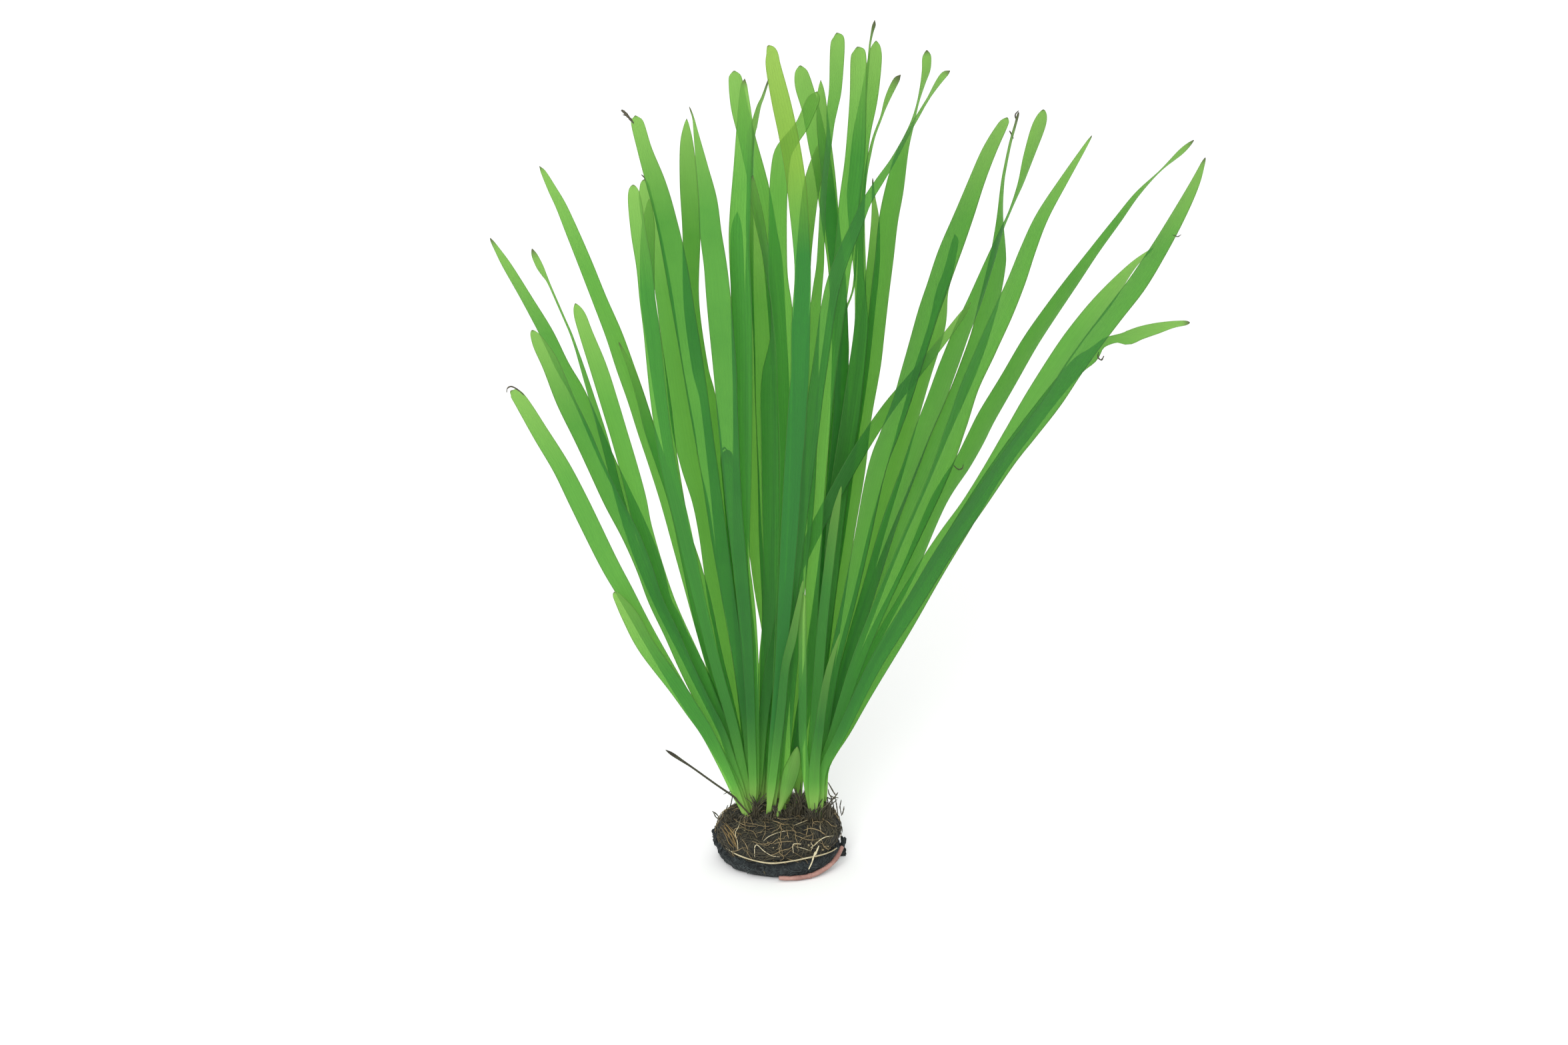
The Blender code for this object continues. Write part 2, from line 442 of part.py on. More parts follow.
def blade_path(leaf, sway):
    """Middle line, half width and turn of a blade from tip to base, as arrays."""
    trace = np.array(leaf["trace"], float)
    end = trace[-1]
    run = (end - trace[-2])[:2]
    below = end + np.append(run / np.hypot(*run) * BASE_EXTENSION, 0.0)
    seen = smooth_through(np.vstack([trace, below]), POINTS_PER_KNOT * len(trace))
    seen[:, 2] = np.maximum(seen[:, 2], trace[:, 2].min())
    points = np.array([place_in_layer(x, y, leaf["layer"], sway) for x, y, _ in seen])
    above = [z > dome_height(x, y) + BALL_CLEARANCE for x, y, z in points]
    last = above.index(False) if False in above else len(above)
    seen, points = seen[:last], points[:last]
    gone = np.append(0, np.cumsum(np.hypot(*np.diff(seen[:, :2], axis=0).T)))
    opened = np.clip(gone / FULL_WIDTH_FROM_TIP, 0, 1) ** 0.5
    opened *= np.clip((gone[-1] - gone) / FULL_WIDTH_FROM_BASE, 0, 1)
    full = leaf.get("full_width", 0) * opened
    natural = natural_turn(trace[0, 0], sway) * smooth_step((gone[-1] - gone) / TURN_RISE)
    width = np.maximum(seen[:, 2] / np.cos(natural), full)
    turn = np.arccos(np.clip(seen[:, 2] / width, -1, 1)) * np.sign(natural[0])
    return points, width * PIXEL / 2, turn


def blade_frame(points):
    """Unit vectors along and across a blade whose face is square to the viewer."""
    along = np.gradient(points, axis=0)
    along /= np.linalg.norm(along, axis=1)[:, None]
    sight = points - EYE
    across = np.cross(sight, along)
    across /= np.linalg.norm(across, axis=1)[:, None]
    return along, across


def read_at(places, run, values):
    """Values along a line, one column or several, read at places on its run."""
    columns = np.atleast_2d(values.T)
    return np.column_stack([np.interp(places, run, column) for column in columns])


def blade_rows(leaf, sway):
    """The blade at each of its rows: middle, across vector, normal and half width."""
    rows = min(MOST_ROWS, len(leaf["trace"]) + ROWS_BEYOND_KNOTS)
    points, half, turn = blade_path(leaf, sway)
    along, across = blade_frame(points)
    normal = np.cross(across, along)
    side = across * np.cos(turn)[:, None] + normal * np.sin(turn)[:, None]
    facing = np.cross(side, along)
    run = np.append(0, np.cumsum(np.linalg.norm(np.diff(points, axis=0), axis=1)))
    at = run[-1] * np.linspace(0, 1, rows + 1) ** TIP_CROWDING
    middle, side, facing = (read_at(at, run, values) for values in (points, side, facing))
    return middle, side, facing, read_at(at, run, half)[:, 0]


def make_blade(collection, name, leaf, number):
    """One ribbon leaf: a two-column sheet bent along its trace, given a thickness."""
    sway = SWAY_STEP * number
    middle, side, facing, half = blade_rows(leaf, sway)
    hollow = CHANNEL_SHARE if leaf["layer"] > 0 else -CHANNEL_SHARE
    mesh = bpy.data.meshes.new(name)
    sheet = bmesh.new()
    bmesh.ops.create_grid(sheet, x_segments=2, y_segments=len(middle) - 1, size=1)
    for vert in sheet.verts:
        row = round((vert.co.y + 1) / 2 * (len(middle) - 1))
        offset = side[row] * half[row] * vert.co.x
        fold = facing[row] * 2 * half[row] * hollow * (1 - abs(vert.co.x))
        vert.co = Vector(middle[row] + offset + fold)
    bmesh.ops.recalc_face_normals(sheet, faces=sheet.faces)
    sheet.to_mesh(mesh)
    sheet.free()
    material = {"leaf_20": "leaf_yellow_green", "dead_leaf": "leaf_dead"}.get(name, "leaf_green")
    obj = add_object(collection, name, mesh, material)
    shell = obj.modifiers.new("thickness", "SOLIDIFY")
    shell.thickness = LEAF_THICKNESS
    shell.offset = 0


def make_turned(collection, name, profile, material, ripple_above):
    """A body turned about Z from (radius, height) pairs, its skin made uneven."""
    mesh = bpy.data.meshes.new(name)
    outline = bmesh.new()
    verts = [outline.verts.new((radius, 0, height)) for radius, height in profile]
    for first, second in zip(verts, verts[1:]):
        outline.edges.new((first, second))
    bmesh.ops.spin(
        outline, geom=outline.verts[:] + outline.edges[:], cent=(0, 0, 0), axis=(0, 0, 1),
        angle=2 * math.pi, steps=TURN_STEPS, use_merge=True)
    bmesh.ops.remove_doubles(outline, verts=outline.verts, dist=1e-6)
    bmesh.ops.recalc_face_normals(outline, faces=outline.faces)
    for vert in outline.verts:
        if vert.co.z < ripple_above:
            continue
        coarse, fine = (noise.noise(vert.co * fineness) for fineness in RIPPLE_FINENESS)
        swell = coarse + 0.5 * fine
        out = Vector((vert.co.x, vert.co.y, 0)).normalized()
        vert.co += out * RIPPLE * swell
    outline.to_mesh(mesh)
    outline.free()
    mesh.shade_smooth()
    add_object(collection, name, mesh, material)


def make_root(collection, name, route, reach, radius, material):
    """A root or runner laid round the pad's wall, as a round tube."""
    knots = [(reach * math.sin(math.radians(turn)), -reach * math.cos(math.radians(turn)), z)
             for turn, z in route]
    points = smooth_through(knots, 3 * len(knots))
    curve = bpy.data.curves.new(name, "CURVE")
    curve.dimensions = "3D"
    curve.bevel_depth = radius
    curve.bevel_resolution = 2
    curve.use_fill_caps = True
    line = curve.splines.new("POLY")
    line.points.add(len(points) - 1)
    for place, point in zip(line.points, points):
        place.co = (*point, 1)
    add_object(collection, name, curve, material)


clear_scene()
plant = bpy.data.collections.new("tape_grass")
bpy.context.scene.collection.children.link(plant)

for number, (name, leaf) in enumerate(LEAVES.items()):
    make_blade(plant, name, leaf, number)

mat_profile = [
    (0, 0), (0.90 * PAD_RADIUS, 0), (0.97 * PAD_RADIUS, 0.0012), (PAD_RADIUS, 0.0032),
    (0.99 * PAD_RADIUS, 0.0052), (0.96 * PAD_RADIUS, MAT_HEIGHT), (0, MAT_HEIGHT)]
make_turned(plant, "base_mat", mat_profile, "dark_mat", 0.001)

ball_foot = MAT_HEIGHT + GAP
ball_profile = [
    (0, ball_foot), (0.95 * PAD_RADIUS, ball_foot), (PAD_RADIUS, 0.0095),
    (PAD_RADIUS, 0.0125), (0.97 * PAD_RADIUS, 0.0150), (0.88 * PAD_RADIUS, 0.0170),
    (0.66 * PAD_RADIUS, 0.0193), (0.36 * PAD_RADIUS, 0.0208), (0, BALL_TOP_HEIGHT)]
make_turned(plant, "root_ball", ball_profile, "matted_roots", ball_foot + 0.001)

make_root(plant, "runner", RUNNER_ROUTE, RUNNER_REACH, RUNNER_RADIUS, "runner_skin")
make_root(plant, "pale_root_low", LOW_ROOT_ROUTE, LOW_ROOT_REACH, LOW_ROOT_RADIUS, "pale_root")
make_root(
    plant, "pale_root_upright", UPRIGHT_ROOT_ROUTE, UPRIGHT_ROOT_REACH, UPRIGHT_ROOT_RADIUS,
    "pale_root")
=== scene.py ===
# %% [markdown]
# # A bunch of tape grass with its root ball
#
# Tape grass is a water plant: a fan of long ribbon leaves that all rise from one crown,
# above a flat pad of matted roots. This lesson builds the looks around a finished frame.
# The frame holds one plain solid for each leaf and root, in metres, and nothing in it is
# moved. Each solid is replaced, in its own place, by a finer piece.

# %% Load the frame
import math

import bmesh
import bpy
import numpy as np
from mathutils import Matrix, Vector, noise
from mathutils.bvhtree import BVHTree


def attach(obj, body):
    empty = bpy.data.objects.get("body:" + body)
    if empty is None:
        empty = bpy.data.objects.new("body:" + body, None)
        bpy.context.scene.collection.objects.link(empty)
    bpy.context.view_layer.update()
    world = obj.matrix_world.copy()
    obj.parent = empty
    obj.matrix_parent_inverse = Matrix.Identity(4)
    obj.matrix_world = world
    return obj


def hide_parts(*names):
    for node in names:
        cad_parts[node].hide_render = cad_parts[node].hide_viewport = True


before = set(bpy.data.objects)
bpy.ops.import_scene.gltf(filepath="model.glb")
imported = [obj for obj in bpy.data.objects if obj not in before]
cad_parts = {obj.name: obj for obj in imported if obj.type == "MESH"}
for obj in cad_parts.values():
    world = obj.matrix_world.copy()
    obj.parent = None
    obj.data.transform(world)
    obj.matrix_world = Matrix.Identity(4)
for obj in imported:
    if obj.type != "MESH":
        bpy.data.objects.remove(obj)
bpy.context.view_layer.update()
print("solids in the frame:", len(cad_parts))

# %% [markdown]
# ## The sizes of the plant
#
# The leaves are placed by the same rule that the solids were placed by, so its numbers are
# repeated here. Each leaf has a trace on a picture plane, seen from a little above. It is
# then pushed along the line of sight until it lies in its own layer of the fan.

# %% Sizes in metres, and how the traces are looked at
PAD_RADIUS = 0.0240
MAT_HEIGHT = 0.0065
BALL_RIM_HEIGHT = 0.0165
BALL_TOP_HEIGHT = 0.0215
GAP = 0.0003

VIEW_ELEVATION = math.radians(21.0)
VIEW_DISTANCE = 2.5
PIXEL = 0.000263
PICTURE_WIDTH = 2352
ORIGIN_PIXEL = (1170.0, 1283.0)
PICTURE_CENTRE = (1176.0, 784.0)
PLACING_ROUNDS = 8

BASE_PITCH = 0.0008
BASE_SHIFT = 0.0015
FAN_PITCH = 0.0058
FAN_HEIGHT = 0.320
FAN_POWER = 1.4
SWAY_SHARE = 0.28
SWAY_WAVES = 1.2
SWAY_STEP = 2.1

POINTS_PER_KNOT = 26
FULL_WIDTH_FROM_TIP = 30.0
FULL_WIDTH_FROM_BASE = 450.0
LEAN_TURN = math.radians(42)
OWN_TURN = math.radians(13)
OWN_TURN_RATE = 3
TURN_SPREAD = 380.0
TURN_RISE = 520.0
BALL_CLEARANCE = 0.0009
BASE_EXTENSION = 40.0

# %% [markdown]
# ## The traces of the leaves
#
# Each trace runs from tip to base: across, down and the width that is seen there, all in
# pixels of the picture plane. Layers count from the front (negative) to the back. A leaf
# that shows its thin side somewhere has its real width under full_width, so that the
# script knows how far to turn it about its own length.

# %% The traces
LEAVES = {
    "leaf_01": dict(layer=-9, trace=[
        (766, 586, 9), (779, 598, 19), (811, 650, 24), (841, 700, 26), (866, 750, 28),
        (891, 800, 28), (916, 850, 27), (937, 888, 25), (971, 950, 22),
        (1029, 1050, 20), (1061, 1100, 18), (1089, 1150, 15), (1113, 1200, 13)]),
    "leaf_02": dict(layer=-12, trace=[
        (921, 888, 9), (945, 925, 24), (970, 970, 26), (1014, 1030, 24),
        (1038, 1065, 22), (1061, 1100, 19), (1086, 1150, 16), (1108, 1200, 13)]),
    "leaf_03": dict(layer=-7, trace=[
        (798, 495, 8), (810, 518, 20), (827, 550, 25), (848, 600, 27), (872, 650, 27),
        (894, 700, 25), (918, 750, 26), (944, 800, 26), (965, 850, 24), (983, 900, 22),
        (1007, 950, 22), (1029, 1000, 22), (1053, 1050, 21), (1080, 1100, 18),
        (1098, 1150, 16), (1116, 1200, 13)]),
    "leaf_04": dict(layer=5, trace=[
        (735, 357, 3), (746, 375, 8), (761, 400, 13), (791, 450, 16), (820, 500, 20),
        (844, 550, 21), (872, 600, 22), (916, 700, 22), (964, 800, 21), (984, 850, 20),
        (997, 900, 19), (1010, 925, 19), (1022, 950, 18), (1035, 975, 18),
        (1058, 1020, 18), (1084, 1090, 17), (1102, 1150, 15), (1117, 1200, 13)]),
    "leaf_05": dict(layer=1, full_width=13, trace=[
        (798, 373, 4), (803, 385, 9), (810, 400, 10), (816, 412, 7), (823, 425, 3),
        (834, 450, 2), (845, 475, 2), (856, 500, 3), (865, 525, 4), (873, 550, 6),
        (888, 600, 9), (896, 625, 10), (911, 675, 12), (945, 800, 13), (985, 900, 13),
        (1035, 1000, 13), (1085, 1100, 13), (1103, 1150, 13), (1118, 1200, 12)]),
    "leaf_06": dict(layer=-1, trace=[
        (863, 455, 6), (870, 473, 17), (879, 500, 20), (897, 550, 25), (913, 600, 26),
        (928, 650, 26), (942, 700, 27), (955, 750, 28), (967, 800, 26), (1000, 900, 23),
        (1043, 990, 18), (1068, 1050, 17), (1090, 1100, 16), (1107, 1150, 15),
        (1120, 1200, 13)]),
    "leaf_07": dict(layer=12, trace=[
        (809, 249, 2), (816, 260, 8), (829, 285, 13), (842, 310, 16), (859, 350, 19),
        (880, 400, 21), (900, 450, 22), (920, 500, 25), (937, 550, 27), (955, 600, 27),
        (971, 650, 27), (987, 700, 26), (1010, 775, 25), (1046, 915, 21),
        (1066, 990, 19), (1095, 1100, 16), (1110, 1150, 15), (1122, 1200, 13)]),
    "leaf_08": dict(layer=7, trace=[
        (928, 513, 2), (945, 550, 8), (962, 600, 13), (976, 650, 16), (1011, 750, 18),
        (1034, 850, 20), (1056, 950, 21), (1086, 1050, 18), (1113, 1150, 15),
        (1123, 1200, 13)]),
    "leaf_09": dict(layer=-5, trace=[
        (950, 277, 10), (952, 300, 19), (958, 350, 22), (966, 400, 23), (971, 450, 23),
        (978, 500, 24), (988, 600, 24), (1003, 700, 23), (1026, 800, 22),
        (1049, 900, 18), (1074, 1000, 16), (1102, 1100, 15), (1122, 1200, 13)]),
    "leaf_10": dict(layer=10, trace=[
        (966, 269, 10), (969, 300, 20), (979, 350, 24), (989, 400, 24), (997, 450, 25),
        (1004, 500, 26), (1011, 550, 27), (1018, 600, 31), (1026, 650, 33),
        (1036, 700, 28), (1050, 750, 24), (1059, 800, 22), (1066, 850, 22),
        (1073, 900, 22), (1082, 950, 20), (1091, 1000, 19), (1101, 1050, 17),
        (1110, 1100, 15), (1119, 1150, 13), (1125, 1200, 12)]),
    "leaf_11": dict(layer=0, trace=[
        (974, 298, 3), (973, 325, 15), (972, 350, 20), (971, 400, 21), (972, 450, 21),
        (979, 500, 22), (994, 600, 23), (1005, 678, 19), (1017, 750, 19),
        (1027, 800, 18), (1043, 850, 18), (1057, 900, 18), (1068, 950, 17),
        (1079, 1000, 17), (1092, 1050, 16), (1115, 1150, 15), (1124, 1200, 13)]),
    "leaf_12": dict(layer=-3, trace=[
        (953, 173, 6), (956, 185, 18), (967, 225, 21), (984, 275, 28), (998, 325, 30),
        (1014, 400, 33), (1031, 500, 32), (1047, 600, 30), (1063, 700, 26),
        (1078, 800, 24), (1093, 900, 20), (1109, 1000, 16), (1121, 1100, 13),
        (1126, 1200, 12)]),
    "leaf_13": dict(layer=4, trace=[
        (1030, 178, 3), (1030, 215, 19), (1033, 275, 26), (1037, 350, 26),
        (1037, 450, 23), (1050, 550, 24), (1062, 600, 24), (1074, 700, 24),
        (1088, 850, 22), (1102, 950, 18), (1115, 1050, 16), (1127, 1200, 12)]),
    "leaf_14": dict(layer=-8, trace=[
        (1034, 160, 2), (1040, 178, 3), (1044, 200, 7), (1053, 250, 17), (1062, 300, 26),
        (1066, 350, 31), (1073, 400, 33), (1078, 450, 35), (1087, 550, 34),
        (1090, 600, 31), (1100, 750, 24), (1110, 850, 21), (1119, 950, 18),
        (1125, 1050, 14), (1130, 1200, 12)]),
    "leaf_15": dict(layer=9, trace=[
        (1092, 675, 14), (1091, 690, 20), (1095, 725, 22), (1105, 850, 21),
        (1109, 925, 18), (1118, 1050, 16), (1128, 1180, 12)]),
    "leaf_16": dict(layer=11, trace=[
        (1101, 106, 9), (1103, 119, 20), (1109, 160, 25), (1120, 205, 25),
        (1134, 260, 28), (1142, 293, 28), (1152, 350, 28), (1160, 400, 28),
        (1167, 500, 25), (1172, 600, 25), (1172, 700, 24), (1166, 850, 23),
        (1160, 1000, 20), (1155, 1100, 16), (1150, 1205, 14)]),
    "leaf_17": dict(layer=-6, trace=[
        (1117, 118, 3), (1116, 135, 11), (1117, 190, 23), (1114, 250, 26),
        (1110, 325, 30), (1109, 375, 30), (1113, 475, 29), (1114, 625, 28),
        (1113, 720, 27), (1112, 800, 25), (1113, 845, 23), (1118, 880, 22),
        (1123, 920, 21), (1128, 985, 19), (1131, 1050, 15), (1132, 1100, 13),
        (1133, 1200, 12)]),
    "leaf_18": dict(layer=6, full_width=22, trace=[
        (1153, 118, 2), (1143, 145, 4), (1137, 160, 6), (1130, 190, 10),
        (1127, 205, 11), (1126, 260, 9), (1125, 350, 10), (1124, 500, 14),
        (1125, 600, 17), (1128, 700, 20), (1132, 800, 21), (1138, 860, 20),
        (1144, 900, 20), (1152, 945, 19), (1157, 1000, 17), (1160, 1060, 16),
        (1161, 1120, 14), (1159, 1200, 12)]),
    "leaf_19": dict(layer=0, full_width=24, trace=[
        (1129, 263, 2), (1131, 285, 11), (1139, 325, 14), (1148, 375, 11),
        (1157, 425, 11), (1161, 460, 9), (1162, 500, 10), (1159, 530, 16),
        (1155, 560, 23), (1154, 600, 26), (1155, 650, 26), (1156, 720, 26),
        (1157, 800, 25), (1157, 880, 23), (1153, 945, 21), (1148, 990, 19),
        (1144, 1060, 17), (1142, 1120, 14), (1141, 1200, 12)]),
    "leaf_20": dict(layer=-12, trace=[
        (1152, 68, 8), (1158, 80, 16), (1160, 100, 21), (1171, 150, 26),
        (1182, 200, 27), (1191, 250, 27), (1197, 300, 27), (1204, 400, 23),
        (1202, 466, 26), (1201, 500, 27), (1200, 560, 26), (1197, 600, 27),
        (1193, 660, 27), (1190, 700, 26), (1184, 800, 25), (1171, 1000, 17),
        (1162, 1100, 15), (1155, 1200, 13)]),
    "leaf_21": dict(layer=3, trace=[
        (1122, 288, 3), (1127, 315, 15), (1131, 350, 23), (1137, 400, 28),
        (1141, 450, 30), (1145, 500, 30), (1148, 600, 30), (1150, 700, 27),
        (1150, 800, 23), (1151, 850, 21), (1153, 900, 20), (1153, 945, 20),
        (1150, 990, 19), (1148, 1060, 17), (1147, 1120, 14), (1147, 1200, 12)]),
    "leaf_22": dict(layer=-4, trace=[
        (1226, 137, 4), (1220, 150, 18), (1204, 186, 19), (1189, 207, 21),
        (1175, 228, 25), (1170, 255, 26), (1168, 290, 26), (1167, 340, 26),
        (1166, 400, 28), (1168, 430, 29), (1173, 466, 30), (1177, 520, 27),
        (1179, 600, 25), (1182, 700, 24), (1177, 850, 20), (1169, 1000, 18),
        (1162, 1200, 13)]),
    "leaf_23": dict(layer=12, trace=[
        (1200, 98, 8), (1202, 110, 20), (1206, 130, 26), (1216, 165, 26),
        (1226, 215, 28), (1235, 260, 27), (1245, 330, 25), (1255, 405, 25),
        (1260, 500, 25), (1260, 550, 25), (1250, 750, 24), (1225, 950, 20),
        (1211, 1050, 17), (1195, 1130, 15), (1183, 1195, 13)]),
    "leaf_24": dict(layer=8, trace=[
        (1228, 215, 2), (1225, 250, 23), (1215, 295, 24), (1206, 375, 22),
        (1203, 450, 22), (1201, 500, 23), (1200, 600, 22), (1197, 700, 22),
        (1190, 850, 20), (1181, 1000, 18), (1172, 1100, 15), (1167, 1200, 12)]),
    "leaf_25": dict(layer=0.7, trace=[
        (1231, 120, 2), (1232, 145, 12), (1235, 190, 18), (1242, 260, 20),
        (1248, 335, 21), (1256, 405, 20), (1262, 500, 20), (1262, 600, 20),
        (1248, 750, 19), (1222, 950, 17), (1200, 1080, 15), (1182, 1195, 12)]),
    "leaf_26": dict(layer=-7, full_width=22, trace=[
        (1255, 49, 8), (1256, 66, 20), (1254, 130, 18), (1249, 165, 15), (1245, 200, 9),
        (1237, 270, 8), (1233, 340, 9), (1231, 365, 9), (1229, 400, 11),
        (1225, 440, 14), (1219, 520, 18), (1216, 600, 22), (1213, 700, 22),
        (1206, 800, 21), (1197, 900, 18), (1180, 1100, 15), (1176, 1200, 13)]),
    "leaf_27": dict(layer=-5, trace=[
        (1286, 70, 10), (1287, 86, 22), (1287, 150, 24), (1283, 230, 28),
        (1275, 300, 30), (1267, 375, 27), (1260, 425, 25), (1237, 600, 25),
        (1228, 700, 25), (1222, 800, 23), (1218, 900, 20), (1216, 1000, 18),
        (1216, 1100, 16), (1215, 1195, 13)]),
    "leaf_28": dict(layer=0, trace=[
        (1314, 61, 6), (1313, 75, 16), (1311, 95, 21), (1303, 150, 25), (1292, 205, 25),
        (1286, 260, 25), (1284, 300, 26), (1288, 400, 15), (1291, 450, 17),
        (1291, 500, 21), (1279, 600, 26), (1264, 700, 27), (1252, 800, 25),
        (1243, 900, 20), (1232, 1000, 15), (1224, 1100, 14), (1217, 1195, 13)]),
    "leaf_29": dict(layer=7, full_width=16, trace=[
        (1312, 30, 2), (1311, 38, 5), (1308, 50, 3), (1305, 65, 2), (1303, 85, 2),
        (1298, 150, 3), (1292, 230, 4), (1287, 330, 3), (1281, 425, 2), (1269, 464, 2),
        (1263, 495, 5), (1257, 560, 10), (1252, 640, 14), (1244, 750, 16),
        (1235, 900, 16), (1226, 1050, 15), (1219, 1195, 12)]),
    "leaf_30": dict(layer=1.9, full_width=18, trace=[
        (1351, 112, 3), (1344, 121, 9), (1332, 146, 8), (1322, 175, 3), (1311, 205, 3),
        (1304, 235, 4), (1299, 262, 4), (1295, 300, 5), (1292, 350, 9), (1292, 420, 13),
        (1289, 500, 17), (1275, 600, 19), (1261, 700, 19), (1250, 800, 18),
        (1240, 900, 17), (1229, 1030, 15), (1221, 1195, 12)]),
    "leaf_31": dict(layer=4.3, full_width=24, trace=[
        (1390, 75, 6), (1390, 87, 13), (1389, 105, 12), (1384, 125, 7), (1376, 155, 3),
        (1368, 185, 6), (1358, 215, 13), (1352, 235, 19), (1342, 285, 27),
        (1332, 335, 28), (1325, 400, 27), (1313, 500, 26), (1308, 550, 24),
        (1295, 633, 23), (1286, 700, 25), (1270, 800, 24), (1256, 900, 21),
        (1240, 1020, 18), (1229, 1110, 15), (1222, 1195, 13)]),
    "leaf_32": dict(layer=-10, full_width=18, trace=[
        (1425, 106, 4), (1414, 115, 9), (1391, 150, 3), (1374, 178, 4), (1358, 206, 5),
        (1338, 243, 8), (1320, 271, 11), (1300, 303, 13), (1286, 335, 16),
        (1261, 395, 20), (1243, 460, 21), (1228, 560, 22), (1218, 640, 22),
        (1208, 720, 21), (1198, 800, 20), (1185, 900, 18), (1175, 1000, 17),
        (1168, 1100, 15), (1160, 1205, 13)]),
    "leaf_33": dict(layer=10, trace=[
        (1309, 267, 2), (1310, 290, 4), (1313, 330, 12), (1311, 375, 17),
        (1309, 400, 19), (1304, 450, 20), (1293, 550, 20), (1272, 700, 20),
        (1258, 800, 19), (1244, 900, 18), (1234, 1000, 16), (1225, 1100, 14),
        (1222, 1195, 12)]),
    "leaf_34": dict(layer=-4, trace=[
        (1511, 176, 7), (1504, 188, 14), (1485, 225, 20), (1464, 275, 23),
        (1445, 325, 28), (1426, 375, 32), (1408, 425, 31), (1390, 475, 30),
        (1369, 550, 28), (1354, 600, 26), (1335, 650, 27), (1317, 700, 27),
        (1295, 800, 24), (1274, 900, 21), (1251, 1000, 17), (1236, 1100, 14),
        (1222, 1195, 12)]),
    "leaf_35": dict(layer=8, trace=[
        (1432, 351, 2), (1432, 365, 10), (1422, 410, 14), (1413, 440, 18),
        (1405, 490, 25), (1384, 560, 27), (1373, 600, 26), (1358, 650, 26),
        (1343, 700, 26), (1315, 800, 24), (1289, 900, 21), (1261, 1000, 17),
        (1243, 1100, 14), (1228, 1195, 12)]),
    "leaf_36": dict(layer=1, full_width=24, trace=[
        (1565, 164, 8), (1558, 188, 19), (1543, 235, 15), (1531, 275, 8),
        (1515, 315, 3), (1502, 345, 5), (1491, 375, 10), (1482, 400, 14),
        (1463, 450, 20), (1441, 500, 24), (1422, 550, 27), (1404, 600, 27),
        (1383, 650, 25), (1365, 700, 24), (1330, 800, 23), (1299, 900, 21),
        (1269, 1000, 18), (1245, 1100, 14), (1226, 1195, 12)]),
    "leaf_37": dict(layer=-2, trace=[
        (1456, 454, 3), (1442, 474, 9), (1412, 514, 12), (1372, 563, 14),
        (1332, 611, 17), (1292, 673, 20), (1256, 736, 20), (1221, 801, 19),
        (1185, 880, 19), (1160, 980, 17), (1150, 1040, 16), (1143, 1100, 14),
        (1135, 1205, 12)]),
    "leaf_38": dict(layer=5.2, full_width=24, trace=[
        (1528, 168, 4), (1524, 183, 3), (1519, 200, 3), (1514, 220, 3), (1508, 250, 3),
        (1504, 275, 4), (1500, 325, 9), (1497, 375, 21), (1494, 400, 26),
        (1484, 450, 29), (1471, 500, 27), (1453, 550, 27), (1433, 600, 26),
        (1390, 700, 25), (1347, 800, 23), (1308, 900, 22), (1274, 1000, 18),
        (1247, 1100, 15), (1235, 1150, 13), (1230, 1197, 12)]),
    "leaf_39": dict(layer=-7, trace=[
        (1638, 203, 2), (1624, 225, 6), (1596, 270, 12), (1564, 325, 18),
        (1542, 375, 22), (1523, 425, 26), (1502, 475, 29), (1479, 525, 28),
        (1454, 580, 27), (1435, 640, 29), (1414, 700, 28), (1370, 800, 25),
        (1324, 900, 22), (1284, 1000, 19), (1251, 1100, 15), (1234, 1150, 13),
        (1229, 1197, 12)]),
    "leaf_40": dict(layer=11, full_width=16, trace=[
        (1791, 210, 3), (1772, 227, 8), (1740, 256, 2), (1706, 291, 7), (1676, 331, 11),
        (1641, 377, 14), (1607, 424, 19), (1575, 470, 22), (1543, 517, 24),
        (1512, 569, 25), (1481, 623, 27), (1463, 660, 27), (1444, 695, 25),
        (1409, 750, 24), (1366, 850, 23), (1315, 950, 21), (1271, 1050, 18),
        (1238, 1150, 13), (1231, 1197, 12)]),
    "leaf_41": dict(layer=-10, trace=[
        (1808, 236, 3), (1792, 275, 13), (1766, 325, 20), (1738, 375, 24),
        (1706, 425, 27), (1668, 475, 27), (1614, 550, 27), (1580, 600, 26),
        (1542, 650, 25), (1504, 700, 24), (1437, 798, 25), (1373, 900, 24),
        (1311, 1000, 20), (1262, 1100, 16), (1240, 1142, 13), (1232, 1165, 12),
        (1231, 1197, 12)]),
    "leaf_42": dict(layer=6.5, trace=[
        (1730, 372, 2), (1698, 400, 11), (1656, 450, 26), (1616, 500, 28),
        (1581, 550, 28), (1549, 600, 28), (1519, 650, 24), (1489, 700, 21),
        (1453, 757, 21), (1414, 811, 21), (1357, 900, 22), (1300, 1000, 20),
        (1257, 1100, 16), (1238, 1148, 13), (1231, 1197, 12)]),
    "leaf_43": dict(layer=-5, trace=[
        (1785, 484, 6), (1760, 487, 10), (1735, 493, 16), (1710, 500, 19),
        (1692, 507, 20), (1676, 508, 12), (1661, 512, 12), (1649, 520, 12),
        (1635, 535, 22), (1614, 553, 23), (1575, 598, 22), (1537, 646, 23),
        (1500, 698, 23), (1434, 803, 27), (1366, 919, 28), (1299, 1034, 25),
        (1267, 1094, 21), (1251, 1121, 18), (1239, 1145, 15), (1235, 1165, 14),
        (1235, 1200, 14)]),
    "leaf_44": dict(layer=-8, trace=[
        (1262, 729, 2), (1253, 775, 12), (1243, 850, 14), (1233, 950, 15),
        (1222, 1080, 14), (1212, 1190, 12)]),
    "leaf_45": dict(layer=-13, trace=[
        (1205, 870, 3), (1190, 950, 12), (1178, 1000, 12), (1172, 1060, 13),
